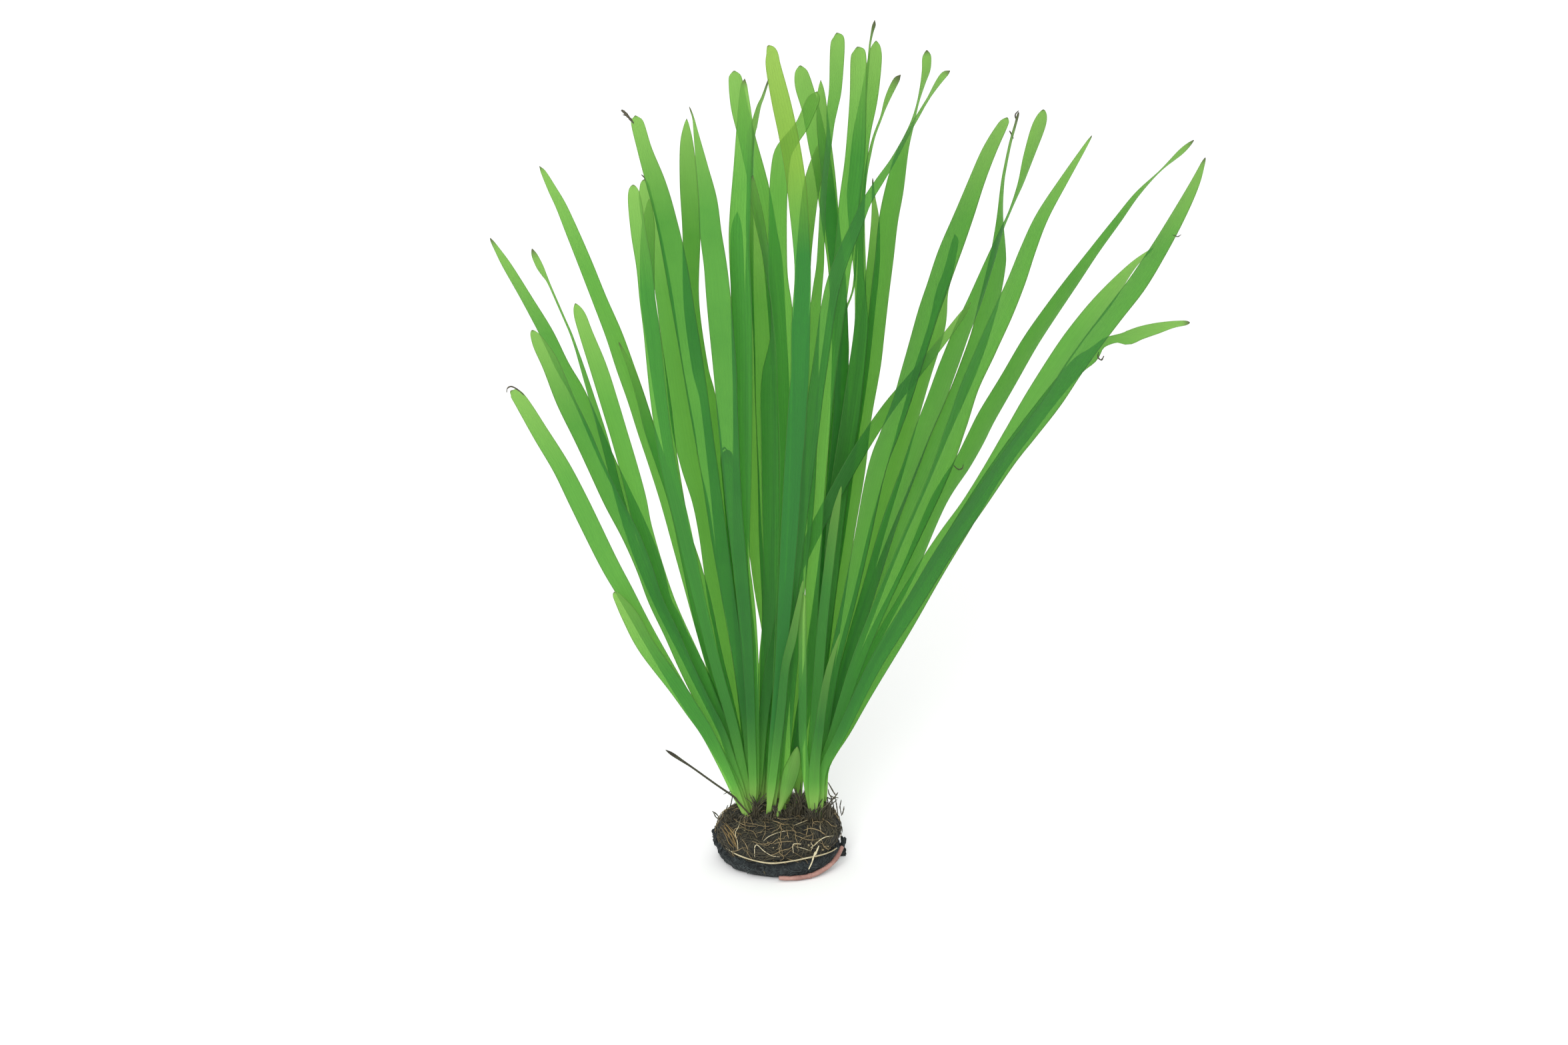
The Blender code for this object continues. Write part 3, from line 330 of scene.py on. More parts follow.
        (1165, 1120, 13), (1155, 1200, 12)]),
    "leaf_46": dict(layer=-12, trace=[
        (1206, 890, 4), (1204, 930, 11), (1204, 1000, 12), (1204, 1100, 12),
        (1208, 1150, 12), (1213, 1190, 11)]),
    "leaf_47": dict(layer=-13, trace=[
        (1260, 950, 2), (1245, 1000, 9), (1235, 1050, 12), (1228, 1100, 14),
        (1222, 1150, 16), (1221, 1190, 17)]),
    "leaf_48": dict(layer=2, trace=[
        (1196, 560, 3), (1197, 590, 14), (1198, 650, 18), (1197, 750, 20),
        (1195, 850, 20), (1194, 950, 19), (1194, 1050, 18), (1194, 1100, 18),
        (1196, 1150, 18), (1198, 1195, 16)]),
    "leaf_49": dict(layer=1.5, trace=[
        (1106, 318, 3), (1105, 345, 16), (1106, 400, 20), (1108, 500, 21),
        (1111, 600, 22), (1112, 700, 22), (1111, 800, 21), (1112, 845, 20),
        (1117, 900, 19), (1123, 950, 18), (1127, 1000, 16), (1131, 1100, 13),
        (1134, 1200, 12)]),
    "young_leaf": dict(layer=-14, trace=[
        (1196, 1120, 4), (1192, 1140, 18), (1186, 1160, 24), (1179, 1185, 19),
        (1172, 1206, 12)]),
    "dead_leaf": dict(layer=-14, trace=[
        (998, 1125, 2), (1009, 1132, 5), (1024, 1142, 4), (1039, 1152, 3),
        (1074, 1177, 3), (1100, 1195, 3), (1108, 1204, 3)]),
}
print("leaves traced:", len(LEAVES))

# %% [markdown]
# ## From a trace to a ribbon in space
#
# A ribbon needs three things at each step of its length: a middle point, a half width and
# how far it turns about its own length. The functions below work them out with arrays, so
# that a whole leaf is one calculation. They are the same ones that made the solids.

# %% The viewer's axes and the lines of sight
FORWARD = np.array([0.0, math.cos(VIEW_ELEVATION), -math.sin(VIEW_ELEVATION)])
RIGHTWARD = np.array([1.0, 0.0, 0.0])
UPWARD = np.array([0.0, math.sin(VIEW_ELEVATION), math.cos(VIEW_ELEVATION)])
CENTRE_OFFSET = (
    (PICTURE_CENTRE[0] - ORIGIN_PIXEL[0]) * PIXEL * RIGHTWARD
    + (ORIGIN_PIXEL[1] - PICTURE_CENTRE[1]) * PIXEL * UPWARD)
EYE = CENTRE_OFFSET - VIEW_DISTANCE * FORWARD


def sight_lines(across, down):
    """Directions from the eye through pixels, one view distance long straight ahead."""
    return (VIEW_DISTANCE * FORWARD
            + np.outer(np.asarray(across) - PICTURE_CENTRE[0], PIXEL * RIGHTWARD)
            + np.outer(PICTURE_CENTRE[1] - np.asarray(down), PIXEL * UPWARD))


def layer_depth(layer, height, sway):
    """How far back a layer of the fan lies at heights above the root ball."""
    rise = np.maximum(height - BALL_TOP_HEIGHT, 0.0) / FAN_HEIGHT
    opening = FAN_PITCH * rise**FAN_POWER
    wave = SWAY_SHARE * np.sin(sway + 2 * math.pi * SWAY_WAVES * rise)
    return BASE_SHIFT + layer * (BASE_PITCH + opening) + wave * opening


def place_in_layer(across, down, layer, sway):
    """The points on the lines of sight that lie in a layer of the fan."""
    lines = sight_lines(across, down)
    depth = np.full(len(lines), BASE_SHIFT)
    for _ in range(PLACING_ROUNDS + 1):
        points = EYE + lines * ((depth - EYE[1]) / lines[:, 1])[:, None]
        depth = layer_depth(layer, points[:, 2], sway)
    return points


# %% Smooth curves and the ball's top
def smooth_through(knots, count):
    """Points on a smooth curve through the knots, evenly shared between them."""
    knots = np.asarray(knots, float)
    padded = np.vstack([2 * knots[0] - knots[1], knots, 2 * knots[-1] - knots[-2]])
    places = np.linspace(0, len(knots) - 1, count)
    start = np.minimum(places.astype(int), len(knots) - 2)
    t = (places - start)[:, None]
    a, b, c, d = (padded[start + step] for step in range(4))
    return 0.5 * (2 * b + (c - a) * t + (2 * a - 5 * b + 4 * c - d) * t**2
                  + (3 * b - a - 3 * c + d) * t**3)


def smooth_step(share):
    """An even rise from 0 to 1 with a soft start and end."""
    share = np.clip(share, 0, 1)
    return share * share * (3 - 2 * share)


def dome_height(x, y):
    """Height of the root ball's rounded top over points of the floor."""
    share = np.minimum((x * x + y * y) / PAD_RADIUS**2, 1.0)
    return BALL_TOP_HEIGHT - (BALL_TOP_HEIGHT - BALL_RIM_HEIGHT) * share


def natural_turn(tip_across, sway):
    """How far a blade's face turns towards the plant's middle, by where its tip leans."""
    lean = np.clip((tip_across - ORIGIN_PIXEL[0]) / TURN_SPREAD, -1, 1)
    own = OWN_TURN * math.cos(OWN_TURN_RATE * sway)
    return LEAN_TURN * np.sign(lean) * abs(lean) ** 0.5 + own


# %% [markdown]
# ## Where a blade starts and ends
#
# The solids stop just above the root ball, because solids may not touch. The visible
# leaves go on a little way into the ball, so that they look rooted. Near the tip the
# width closes like a fingertip instead of ending in a straight cut.

# %% The path of one blade
ROOTED_DEPTH = 0.0025
TIP_ROUNDING = 9.0
LEAST_HALF_WIDTH = 0.00002


def first_below(heights, limit):
    """The place of the first height at or under a limit, or the number of heights."""
    return np.argmax(heights <= limit) if heights.min() <= limit else len(heights)


def blade_path(leaf, sway):
    """Middle line, half width, turn and pixels from the tip of a blade, as arrays."""
    trace = np.array(leaf["trace"], float)
    run = (trace[-1] - trace[-2])[:2]
    below = trace[-1] + np.append(run / np.hypot(*run) * BASE_EXTENSION, 0.0)
    seen = smooth_through(np.vstack([trace, below]), POINTS_PER_KNOT * len(trace))
    seen[:, 2] = np.maximum(seen[:, 2], trace[:, 2].min())
    points = place_in_layer(seen[:, 0], seen[:, 1], leaf["layer"], sway)
    clearance = points[:, 2] - dome_height(points[:, 0], points[:, 1])
    solid_end = first_below(clearance, BALL_CLEARANCE)
    last = first_below(clearance, -ROOTED_DEPTH)
    gone = np.append(0, np.cumsum(np.hypot(*np.diff(seen[:, :2], axis=0).T)))
    left = np.maximum(gone[solid_end - 1] - gone, 0)
    opened = np.clip(gone / FULL_WIDTH_FROM_TIP, 0, 1) ** 0.5
    opened *= np.clip(left / FULL_WIDTH_FROM_BASE, 0, 1)
    full = leaf.get("full_width", 0) * opened
    natural = natural_turn(trace[0, 0], sway) * smooth_step(left / TURN_RISE)
    width = np.maximum(seen[:, 2] / np.cos(natural), full)
    turn = np.arccos(np.clip(seen[:, 2] / width, -1, 1)) * np.sign(natural[0])
    closing = np.sqrt(1 - (1 - np.clip(gone / TIP_ROUNDING, 0, 1)) ** 2)
    half = np.maximum(width * PIXEL / 2 * closing, LEAST_HALF_WIDTH)
    return points[:last], half[:last], turn[:last], gone[:last], left[:last]


def unit(vectors):
    """The vectors with length one."""
    return vectors / np.linalg.norm(vectors, axis=-1, keepdims=True)


def blade_directions(points, turn):
    """Unit vectors across and straight out of a blade at each point."""
    along = unit(np.gradient(points, axis=0))
    across = unit(np.cross(points - EYE, along))
    normal = np.cross(across, along)
    side = across * np.cos(turn)[:, None] + normal * np.sin(turn)[:, None]
    return side, np.cross(side, along)


test_points, test_half, _, _, _ = blade_path(LEAVES["leaf_12"], SWAY_STEP * 11)
print("leaf_12 is", round(2000 * test_half.max(), 1), "mm wide and stands",
      round(1000 * test_points[0, 2]), "mm tall")

# %% [markdown]
# ## A ribbon leaf as a thin closed shell
#
# A real blade is about a third of a millimetre thick and a little thinner at its margins.
# It could be a flat sheet with a Solidify modifier. Here the two skins are made straight
# from arrays, because each point then also carries what the material needs to know: how
# far it is from the tip, and how close to the base. A soft channel runs down the middle,
# and the margins ripple slightly.

# %% Numbers for the blades
BLADE_ROWS = 120
BLADE_COLUMNS = 12
TIP_CROWDING = 1.5
BLADE_THICKNESS = 0.00030
MARGIN_THICKNESS = 0.00012
THINNEST_TIP_SHARE = 0.3
CHANNEL_SHARE = 0.06
BASE_CHANNEL_SHARE = 0.13
CURLED_SHARE = 0.30
MARGIN_RIPPLE = 0.00035
RIPPLES_A_METRE = 90.0
SLOW_RIPPLE_SHARE = 0.37
SLOW_RIPPLE_SHIFT = 1.7
UV_A_METRE = 10.0

# Lengths along a blade, in pixels of the picture plane: the pale stretch above its base and
# the longer stretch with painted light, the narrowing foot, and the browned tip of a leaf without
# one of its own
PALE_BASE = 58.0
PAINTED_LIGHT_LENGTH = 150.0
FOOT_LENGTH = 42.0
FOOT_NARROWING = 0.42
# The share of that painted light given to a leaf behind the fan's middle and to the young leaf
BACK_PAINTED_LIGHT = 0.3
PLAIN_TIP_WEAR = 1.5
WEAR_FALL = 1.5
WORN_TIPS = {
    "leaf_04": 8, "leaf_05": 8, "leaf_07": 5, "leaf_08": 8, "leaf_14": 12, "leaf_15": 12,
    "leaf_17": 7, "leaf_18": 14, "leaf_19": 5, "leaf_29": 22, "leaf_30": 14, "leaf_31": 4,
    "leaf_32": 6, "leaf_33": 16, "leaf_38": 24, "leaf_39": 5, "leaf_40": 8, "leaf_41": 7,
    "leaf_43": 6}


# %% The middle sheet of a blade
def read_at(places, run, values):
    """Values along a line, one column or several, read at places on its run."""
    columns = values.T if values.ndim > 1 else values[None]
    found = np.column_stack([np.interp(places, run, column) for column in columns])
    return found if values.ndim > 1 else found[:, 0]


def blade_grid(leaf, sway, curled):
    """Points of a blade's middle sheet, its normals, and what its rows know."""
    points, half, turn, gone, left = blade_path(leaf, sway)
    side, facing = blade_directions(points, turn)
    run = np.append(0, np.cumsum(np.linalg.norm(np.diff(points, axis=0), axis=1)))
    at = run[-1] * np.linspace(0, 1, BLADE_ROWS + 1) ** TIP_CROWDING
    points, side, facing, half, gone, left = (
        read_at(at, run, values) for values in (points, side, facing, half, gone, left))
    across = np.linspace(-1, 1, BLADE_COLUMNS + 1)
    near_base = smooth_step(1 - left / PALE_BASE)
    half = half * (1 - FOOT_NARROWING * smooth_step(1 - left / FOOT_LENGTH))
    hollow = CHANNEL_SHARE + (BASE_CHANNEL_SHARE - CHANNEL_SHARE) * near_base
    hollow = CURLED_SHARE if curled else hollow * (1 if leaf["layer"] > 0 else -1)
    fold = np.outer(2 * half * hollow, 1 - across**2)
    quick = np.sin(sway + at * RIPPLES_A_METRE)
    slow = np.sin(SLOW_RIPPLE_SHIFT * sway + at * SLOW_RIPPLE_SHARE * RIPPLES_A_METRE)
    fold += MARGIN_RIPPLE * np.outer(quick * slow * half / half.max(), np.abs(across) ** 3)
    grid = (points[:, None] + side[:, None] * np.outer(half, across)[..., None]
            + facing[:, None] * fold[..., None])
    normals = unit(np.cross(np.gradient(grid, axis=1), np.gradient(grid, axis=0)))
    return grid, normals, across, dict(run=at, gone=gone, left=left, near_base=near_base)


# %% The faces of its two skins
def shell_faces(rows, columns):
    """Faces of a closed shell: a front grid of points, then the same grid as its back."""
    index = np.arange(rows * columns).reshape(rows, columns)
    back = index + rows * columns
    quads = lambda a, b, c, d: np.stack([a, b, c, d], axis=-1).reshape(-1, 4)
    front = quads(index[:-1, :-1], index[:-1, 1:], index[1:, 1:], index[1:, :-1])
    behind = quads(back[:-1, :-1], back[1:, :-1], back[1:, 1:], back[:-1, 1:])
    rim = np.concatenate([index[0, :], index[1:, -1], index[-1, -2::-1], index[-2:0:-1, 0]])
    following = np.roll(rim, -1)
    wall = quads(rim, rim + rows * columns, following + rows * columns, following)
    return np.vstack([front, behind, wall])


# %% From a mesh to a piece of the plant
def mesh_from(name, points, faces, material, **values):
    """A smooth mesh with a float attribute for each named value."""
    mesh = bpy.data.meshes.new(name)
    mesh.from_pydata(points.tolist(), [], faces)
    for key, numbers in values.items():
        attribute = mesh.attributes.new(key, "FLOAT", "POINT")
        attribute.data.foreach_set("value", np.asarray(numbers, np.float32))
    mesh.materials.append(material)
    mesh.shade_smooth()
    return mesh


def add_piece(mesh, node=""):
    """A piece at the origin, its faces outwards, in place of a node of the frame if named."""
    shape = bmesh.new()
    shape.from_mesh(mesh)
    if shape.calc_volume(signed=True) < 0:
        bmesh.ops.reverse_faces(shape, faces=shape.faces)
        shape.to_mesh(mesh)
    shape.free()
    piece = bpy.data.objects.new(mesh.name, mesh)
    bpy.context.scene.collection.objects.link(piece)
    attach(piece, "root")
    if node:
        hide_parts(node)
    return piece


# %% One blade
def make_blade(node, leaf, number, piece_name, material, shade):
    """The fine leaf that stands for one of the frame's leaves."""
    sway = SWAY_STEP * number
    grid, normals, across, rows = blade_grid(leaf, sway, curled=node == "young_leaf")
    width_share = np.clip(rows["gone"] / TIP_ROUNDING, THINNEST_TIP_SHARE, 1)[:, None]
    thickness = MARGIN_THICKNESS + (BLADE_THICKNESS - MARGIN_THICKNESS) * (1 - across**2)
    out = normals * (0.5 * thickness * width_share)[..., None]
    points = np.concatenate([(grid + out).reshape(-1, 3), (grid - out).reshape(-1, 3)])
    spread = lambda values: np.tile(np.repeat(values, len(across)), 2)
    worn = WORN_TIPS.get(node, PLAIN_TIP_WEAR)
    # Painted light: the lower end of a leaf at the front is lightened as if no neighbour shaded it,
    # and a leaf further back gets less
    painted_light_amount = 1.0 if leaf["layer"] < 0 and node != "young_leaf" else BACK_PAINTED_LIGHT
    mesh = mesh_from(
        piece_name, points, shell_faces(*grid.shape[:2]).tolist(), material,
        leaf_shade=np.full(len(points), shade),
        tip_wear=spread(np.exp(-(rows["gone"] / worn) ** WEAR_FALL)),
        from_tip=spread(rows["run"]), near_base=spread(rows["near_base"]),
        low_light=spread(painted_light_amount * smooth_step(1 - rows["left"] / PAINTED_LIGHT_LENGTH)))
    uv = np.column_stack([
        np.tile((across + 1) / 2, 2 * len(grid)), spread(UV_A_METRE * rows["run"])])
    layer = mesh.uv_layers.new(name="blade")
    corners = np.empty(len(mesh.loops), np.int32)
    mesh.loops.foreach_get("vertex_index", corners)
    layer.data.foreach_set("uv", uv[corners].astype(np.float32).ravel())
    return add_piece(mesh, node)

# %% [markdown]
# ## Helpers for node trees
#
# Every finish below is a tree of nodes made in the script. One helper adds a node and
# fills its inputs, with a number, a colour or another node's output. A few more make the
# sums, mixes and ranges that come up in each tree.

# %% Helpers for nodes
def put(tree, kind, inputs=None, **settings):
    """Adds a node to a tree, sets its settings and fills its inputs."""
    made = tree.nodes.new(kind)
    for setting, value in settings.items():
        setattr(made, setting, value)
    return fill(tree, made, inputs or {})


def fill(tree, made, inputs):
    """Gives each named input of a node a value, or a link to another node's output."""
    for key, value in inputs.items():
        if isinstance(value, bpy.types.NodeSocket):
            tree.links.new(value, made.inputs[key])
        else:
            made.inputs[key].default_value = value
    return made


def maths(tree, operation, first, second=0.0):
    """The result of one sum."""
    return put(tree, "ShaderNodeMath", {0: first, 1: second}, operation=operation).outputs[0]


def times(tree, first, second):
    """The product of two values."""
    return maths(tree, "MULTIPLY", first, second)


def mixed(tree, share, first, second, blend="MIX"):
    """A mix of two colours."""
    made = put(tree, "ShaderNodeMix", {"Factor": share, 6: first, 7: second},
               data_type="RGBA", blend_type=blend)
    return made.outputs[2]


def ramped(tree, value, low, high, to_low=0.0, to_high=1.0):
    """A value moved from one range to another, held at both ends."""
    return put(tree, "ShaderNodeMapRange", {
        "Value": value, "From Min": low, "From Max": high, "To Min": to_low,
        "To Max": to_high}).outputs[0]


def colour(red, green, blue):
    """A colour as it looks on screen, from 0 to 255, as the linear numbers nodes use."""
    screen = np.array([red, green, blue]) / 255
    linear = np.where(screen <= 0.04045, screen / 12.92, ((screen + 0.055) / 1.055) ** 2.4)
    return (*linear.tolist(), 1.0)


def shader_mix(tree, share, first, second):
    """A mix of two shader nodes."""
    return put(tree, "ShaderNodeMixShader", {
        0: share, 1: first.outputs[0], 2: second.outputs[0]})


def scaled(tree, vector, amount):
    """A vector made longer or shorter."""
    return put(tree, "ShaderNodeVectorMath", {
        0: vector, "Scale": amount}, operation="SCALE").outputs[0]


def added(tree, first, second):
    """The sum of two vectors."""
    return put(tree, "ShaderNodeVectorMath", {
        0: first, 1: second}, operation="ADD").outputs[0]


def bumped(tree, strength, distance, height):
    """A normal with a fine relief."""
    return put(tree, "ShaderNodeBump", {
        "Strength": strength, "Distance": distance, "Height": height}).outputs[0]


def new_group(name, inputs, outputs):
    """An empty shader node group with named sockets, and its two end nodes."""
    group = bpy.data.node_groups.new(name, "ShaderNodeTree")
    for direction, sockets in (("INPUT", inputs), ("OUTPUT", outputs)):
        for key, kind in sockets.items():
            group.interface.new_socket(
                name=key, in_out=direction, socket_type="NodeSocket" + kind)
    return group, group.nodes.new("NodeGroupInput"), group.nodes.new("NodeGroupOutput")


def use_group(tree, group, **inputs):
    """A group placed in a material with its own values."""
    return put(tree, "ShaderNodeGroup", inputs, node_tree=group)


# %% [markdown]
# ## Effects that several finishes share
#
# The veins of a ribbon leaf run its whole length, side by side, so they are drawn in the
# leaf's own flat coordinates, where 0 to 1 is its width. A second group makes soft blotches
# in space, for uneven colour. A third makes a matted, fibrous grain for the root ball and
# what lies under it.

# %% The lengthwise veins
VEIN_EDGE = 0.36
STREAKS_ACROSS = 26.0
STREAKS_ALONG = 1.6
MARGIN_START = 0.455


def make_vein_group():
    """Fine veins, uneven streaks and a mask of the margins, from flat coordinates."""
    group, given, result = new_group(
        "lengthwise_veins", {"Flat": "Vector", "Count": "Float", "Seed": "Float"},
        {"Veins": "Float", "Streaks": "Float", "Margin": "Float"})
    split = put(group, "ShaderNodeSeparateXYZ", {0: given.outputs["Flat"]})
    across, along = split.outputs[0], split.outputs[1]
    ridge = maths(group, "PINGPONG", times(group, across, given.outputs["Count"]), 0.5)
    stretched = put(group, "ShaderNodeCombineXYZ", {
        0: times(group, across, STREAKS_ACROSS), 1: times(group, along, STREAKS_ALONG),
        2: given.outputs["Seed"]})
    streaks = put(group, "ShaderNodeTexNoise", {
        "Vector": stretched.outputs[0], "Scale": 1.0, "Detail": 4.0, "Roughness": 0.55})
    off_middle = maths(group, "ABSOLUTE", maths(group, "SUBTRACT", across, 0.5))
    fill(group, result, {
        "Veins": ramped(group, ridge, VEIN_EDGE, 0.5), "Streaks": streaks.outputs[0],
        "Margin": ramped(group, off_middle, MARGIN_START, 0.5)})
    return group


vein_group = make_vein_group()


# %% Soft blotches
def make_blotch_group():
    """Soft-edged patches of a chosen size. Low and High set how much they cover."""
    group, given, result = new_group(
        "soft_blotches", {"Place": "Vector", "Scale": "Float", "Low": "Float", "High": "Float"},
        {"Blotches": "Float"})
    cloud = put(group, "ShaderNodeTexNoise", {
        "Vector": given.outputs["Place"], "Scale": given.outputs["Scale"], "Detail": 3.0})
    fill(group, result, {
        "Blotches": ramped(group, cloud.outputs[0], given.outputs["Low"], given.outputs["High"])})
    return group


blotch_group = make_blotch_group()


# %% Matted grain
WANDER_SCALE = 0.4
PIT_SCALE = 2.6
STRAND_EDGE = 0.16


def make_grain_group():
    """A net of strands and the pits between them, bent so that nothing runs straight."""
    group, given, result = new_group(
        "matted_grain", {"Place": "Vector", "Scale": "Float", "Bend": "Float"},
        {"Strands": "Float", "Pits": "Float"})
    scale = given.outputs["Scale"]
    wander = put(group, "ShaderNodeTexNoise", {
        "Vector": given.outputs["Place"], "Scale": times(group, scale, WANDER_SCALE),
        "Detail": 2.0})
    push = scaled(group, wander.outputs[1], given.outputs["Bend"])
    bent = added(group, given.outputs["Place"], push)
    cells = put(group, "ShaderNodeTexVoronoi", {
        "Vector": bent, "Scale": scale}, feature="DISTANCE_TO_EDGE")
    fine = put(group, "ShaderNodeTexNoise", {
        "Vector": bent, "Scale": times(group, scale, PIT_SCALE), "Detail": 6.0,
        "Roughness": 0.65})
    fill(group, result, {
        "Strands": ramped(group, cells.outputs[0], 0.0, STRAND_EDGE, 1.0, 0.0),
        "Pits": fine.outputs[0]})
    return group


grain_group = make_grain_group()
print("shared effects:", [group.name for group in bpy.data.node_groups])

# %% [markdown]
# ## The leaf's finish
#
# A tape grass blade is thin enough to act as a green filter. Where one leaf lies over
# white it is yellow-green, and where several lie behind each other they turn dark green,
# with crisp outlines. So the material has three parts. A Principled shader is the skin
# that light falls on, a Translucent shader is the glow of light from behind, and a tinted
# Transparent shader is what is seen straight through. Each blade is a closed shell with two
# skins. The one that a ray enters by does all the filtering, and the one that it leaves by,
# which is seen from inside, is clear. That gives less noise than two half filters.

# %% A leaf material
FILM_SHARE = 0.52
GLOW_SHARE = 0.15
SHEEN = 0.10
PALE_TIP_LENGTH = 0.045
PALE_TIP_SHARE = 0.65
GREENING_LENGTH = 0.04
VEINS_ACROSS = 7.0
SEED_STEP = 31.0
BLOTCH_SCALE = 38.0
SPOT_SCALE = 260.0
SPOT_SOFTNESS = 0.05
VEIN_RELIEF = 0.0002

# How much of the colour below each layer of colour covers
BLOTCH_SHARE = 0.35
STREAK_SHARE = 0.30
VEIN_SHARE = 0.22
# Painted light: how much the lower end of a leaf at the front is lightened
PAINTED_LIGHT_SHARE = 0.8
BASE_SHARE = 0.85
MARGIN_SHARE = 0.30

# How much of the see-through share a pale base and a worn tip take away
BASE_HOLD = 0.6
WEAR_HOLD = 0.8


def read_value(tree, name):
    """A float attribute of the mesh."""
    return put(tree, "ShaderNodeAttribute", attribute_name=name).outputs["Fac"]


def new_material(name):
    """An empty material, its node tree and its output node."""
    material = bpy.data.materials.new(name)
    material.use_nodes = True
    tree = material.node_tree
    tree.nodes.clear()
    return material, tree, tree.nodes.new("ShaderNodeOutputMaterial")


def make_leaf_material(name, look):
    """look holds the leaf's colours and how much of its surface is blemished."""
    material, tree, output = new_material(name)
    flat = put(tree, "ShaderNodeUVMap", uv_map="blade").outputs[0]
    place = put(tree, "ShaderNodeTexCoord").outputs["Object"]
    shade, worn, base, from_tip, low_light = (
        read_value(tree, key)
        for key in ("leaf_shade", "tip_wear", "near_base", "from_tip", "low_light"))
    young = ramped(tree, from_tip, 0.0, PALE_TIP_LENGTH, PALE_TIP_SHARE, 0.0)
    greened = ramped(tree, from_tip, look["greens_from"], look["greens_from"] + GREENING_LENGTH)
    veins = use_group(
        tree, vein_group, Flat=flat, Count=VEINS_ACROSS, Seed=times(tree, shade, SEED_STEP)).outputs
    blotches = use_group(
        tree, blotch_group, Place=place, Scale=BLOTCH_SCALE, Low=0.35, High=0.7).outputs[0]
    spots = use_group(
        tree, blotch_group, Place=place, Scale=SPOT_SCALE, Low=look["spot_level"],
        High=look["spot_level"] + SPOT_SOFTNESS).outputs[0]

    def tone(key):
        """One of the leaf's colours, under its streaks, blotches, pale base, worn tip and the
        painted light on the lower end of a front leaf.
        """
        # low is the painted light tone for the lower end of a leaf at the front
        dark, light, foot, wear, thin_tip, green, low = look[key]
        covers = [
            (times(tree, blotches, BLOTCH_SHARE), light),
            (ramped(tree, veins["Streaks"], 0.35, 0.68, 0.0, STREAK_SHARE), dark),
            (times(tree, veins["Veins"], VEIN_SHARE), dark),
            (young, thin_tip),
            (times(tree, spots, look["spot_share"]), wear),
            (greened, green),
            # Painted light: the lower end of a leaf at the front is lightened
            (times(tree, low_light, PAINTED_LIGHT_SHARE), low),
            (times(tree, base, BASE_SHARE), foot),
            (times(tree, veins["Margin"], MARGIN_SHARE), wear),
            (worn, wear)]
        plain = mixed(tree, ramped(tree, shade, -1.0, 1.0), dark, light)
        for share, cover in covers:
            plain = mixed(tree, share, plain, cover)
        return plain

    relief = bumped(tree, 0.35, VEIN_RELIEF, veins["Veins"])
    skin = put(tree, "ShaderNodeBsdfPrincipled", {
        "Base Color": tone("skin"), "Normal": relief, "Specular IOR Level": SHEEN,
        "Roughness": ramped(tree, veins["Streaks"], 0.3, 0.7, 0.40, 0.55)})
    glow = put(tree, "ShaderNodeBsdfTranslucent", {"Color": tone("glow"), "Normal": relief})
    one_skin = tone("film")
    film = put(tree, "ShaderNodeBsdfTransparent", {
        "Color": mixed(tree, 1.0, one_skin, one_skin, "MULTIPLY")})
    held = maths(tree, "MAXIMUM", times(tree, base, BASE_HOLD), times(tree, worn, WEAR_HOLD))
    one_share = times(tree, maths(tree, "SUBTRACT", 1.0, held), look["film_share"])
    open_share = maths(tree, "POWER", one_share, 2.0)
    outer = shader_mix(tree, open_share, shader_mix(tree, GLOW_SHARE, skin, glow), film)
    clear = put(tree, "ShaderNodeBsdfTransparent")
    inside = put(tree, "ShaderNodeNewGeometry").outputs["Backfacing"]
    fill(tree, output, {"Surface": shader_mix(tree, inside, outer, clear).outputs[0]})
    return material


# %% The colours of green, yellowing and dead leaves
def palette(*tones):
    """Several colours as they look on screen, as nodes use them."""
    return [colour(*tone) for tone in tones]


NEVER = 9.0

# Each look has, for skin, glow and film: a dark tone, a light tone, the base, the wear,
# the thin tip, the green that a yellowing leaf goes back to further down, and the painted
# light tone for the lower end of a leaf at the front
GREEN_LOOK = dict(
    film_share=FILM_SHARE, spot_level=0.75, spot_share=0.0, greens_from=NEVER,
    skin=palette((51, 105, 52), (70, 130, 59), (134, 168, 84), (78, 78, 59),
                 (121, 159, 78), (57, 117, 56), (112, 178, 76)),
    glow=palette((51, 140, 49), (76, 165, 56), (146, 184, 92), (93, 91, 64),
                 (130, 189, 82), (68, 154, 52), (120, 196, 82)),
    film=palette((183, 231, 137), (197, 238, 150), (204, 235, 164), (166, 160, 136),
                 (212, 240, 177), (181, 235, 147), (197, 238, 150)))
YELLOW_LOOK = dict(
    film_share=FILM_SHARE, spot_level=0.70, spot_share=0.55, greens_from=0.055,
    skin=palette((85, 122, 51), (104, 140, 56), (134, 168, 84), (89, 85, 45),
                 (126, 158, 75), (53, 113, 56), (112, 178, 76)),
    glow=palette((115, 167, 56), (136, 183, 63), (146, 184, 92), (100, 93, 49),
                 (158, 193, 85), (63, 150, 52), (120, 196, 82)),
    film=palette((195, 231, 139), (204, 236, 150), (204, 235, 164), (164, 152, 102),
                 (218, 240, 171), (181, 235, 147), (197, 238, 150)))
DEAD_LOOK = dict(
    film_share=0.03, spot_level=0.5, spot_share=0.6, greens_from=NEVER,
    skin=palette((52, 54, 44), (84, 82, 66), (70, 66, 50), (46, 42, 36),
                 (60, 60, 48), (60, 60, 48), (60, 60, 48)),
    glow=palette((60, 62, 48), (90, 90, 66), (80, 76, 50), (50, 46, 40),
                 (60, 62, 48), (60, 62, 48), (60, 62, 48)),
    film=palette((150, 150, 120), (170, 170, 140), (150, 150, 120), (120, 110, 100),
                 (150, 150, 120), (150, 150, 120), (150, 150, 120)))

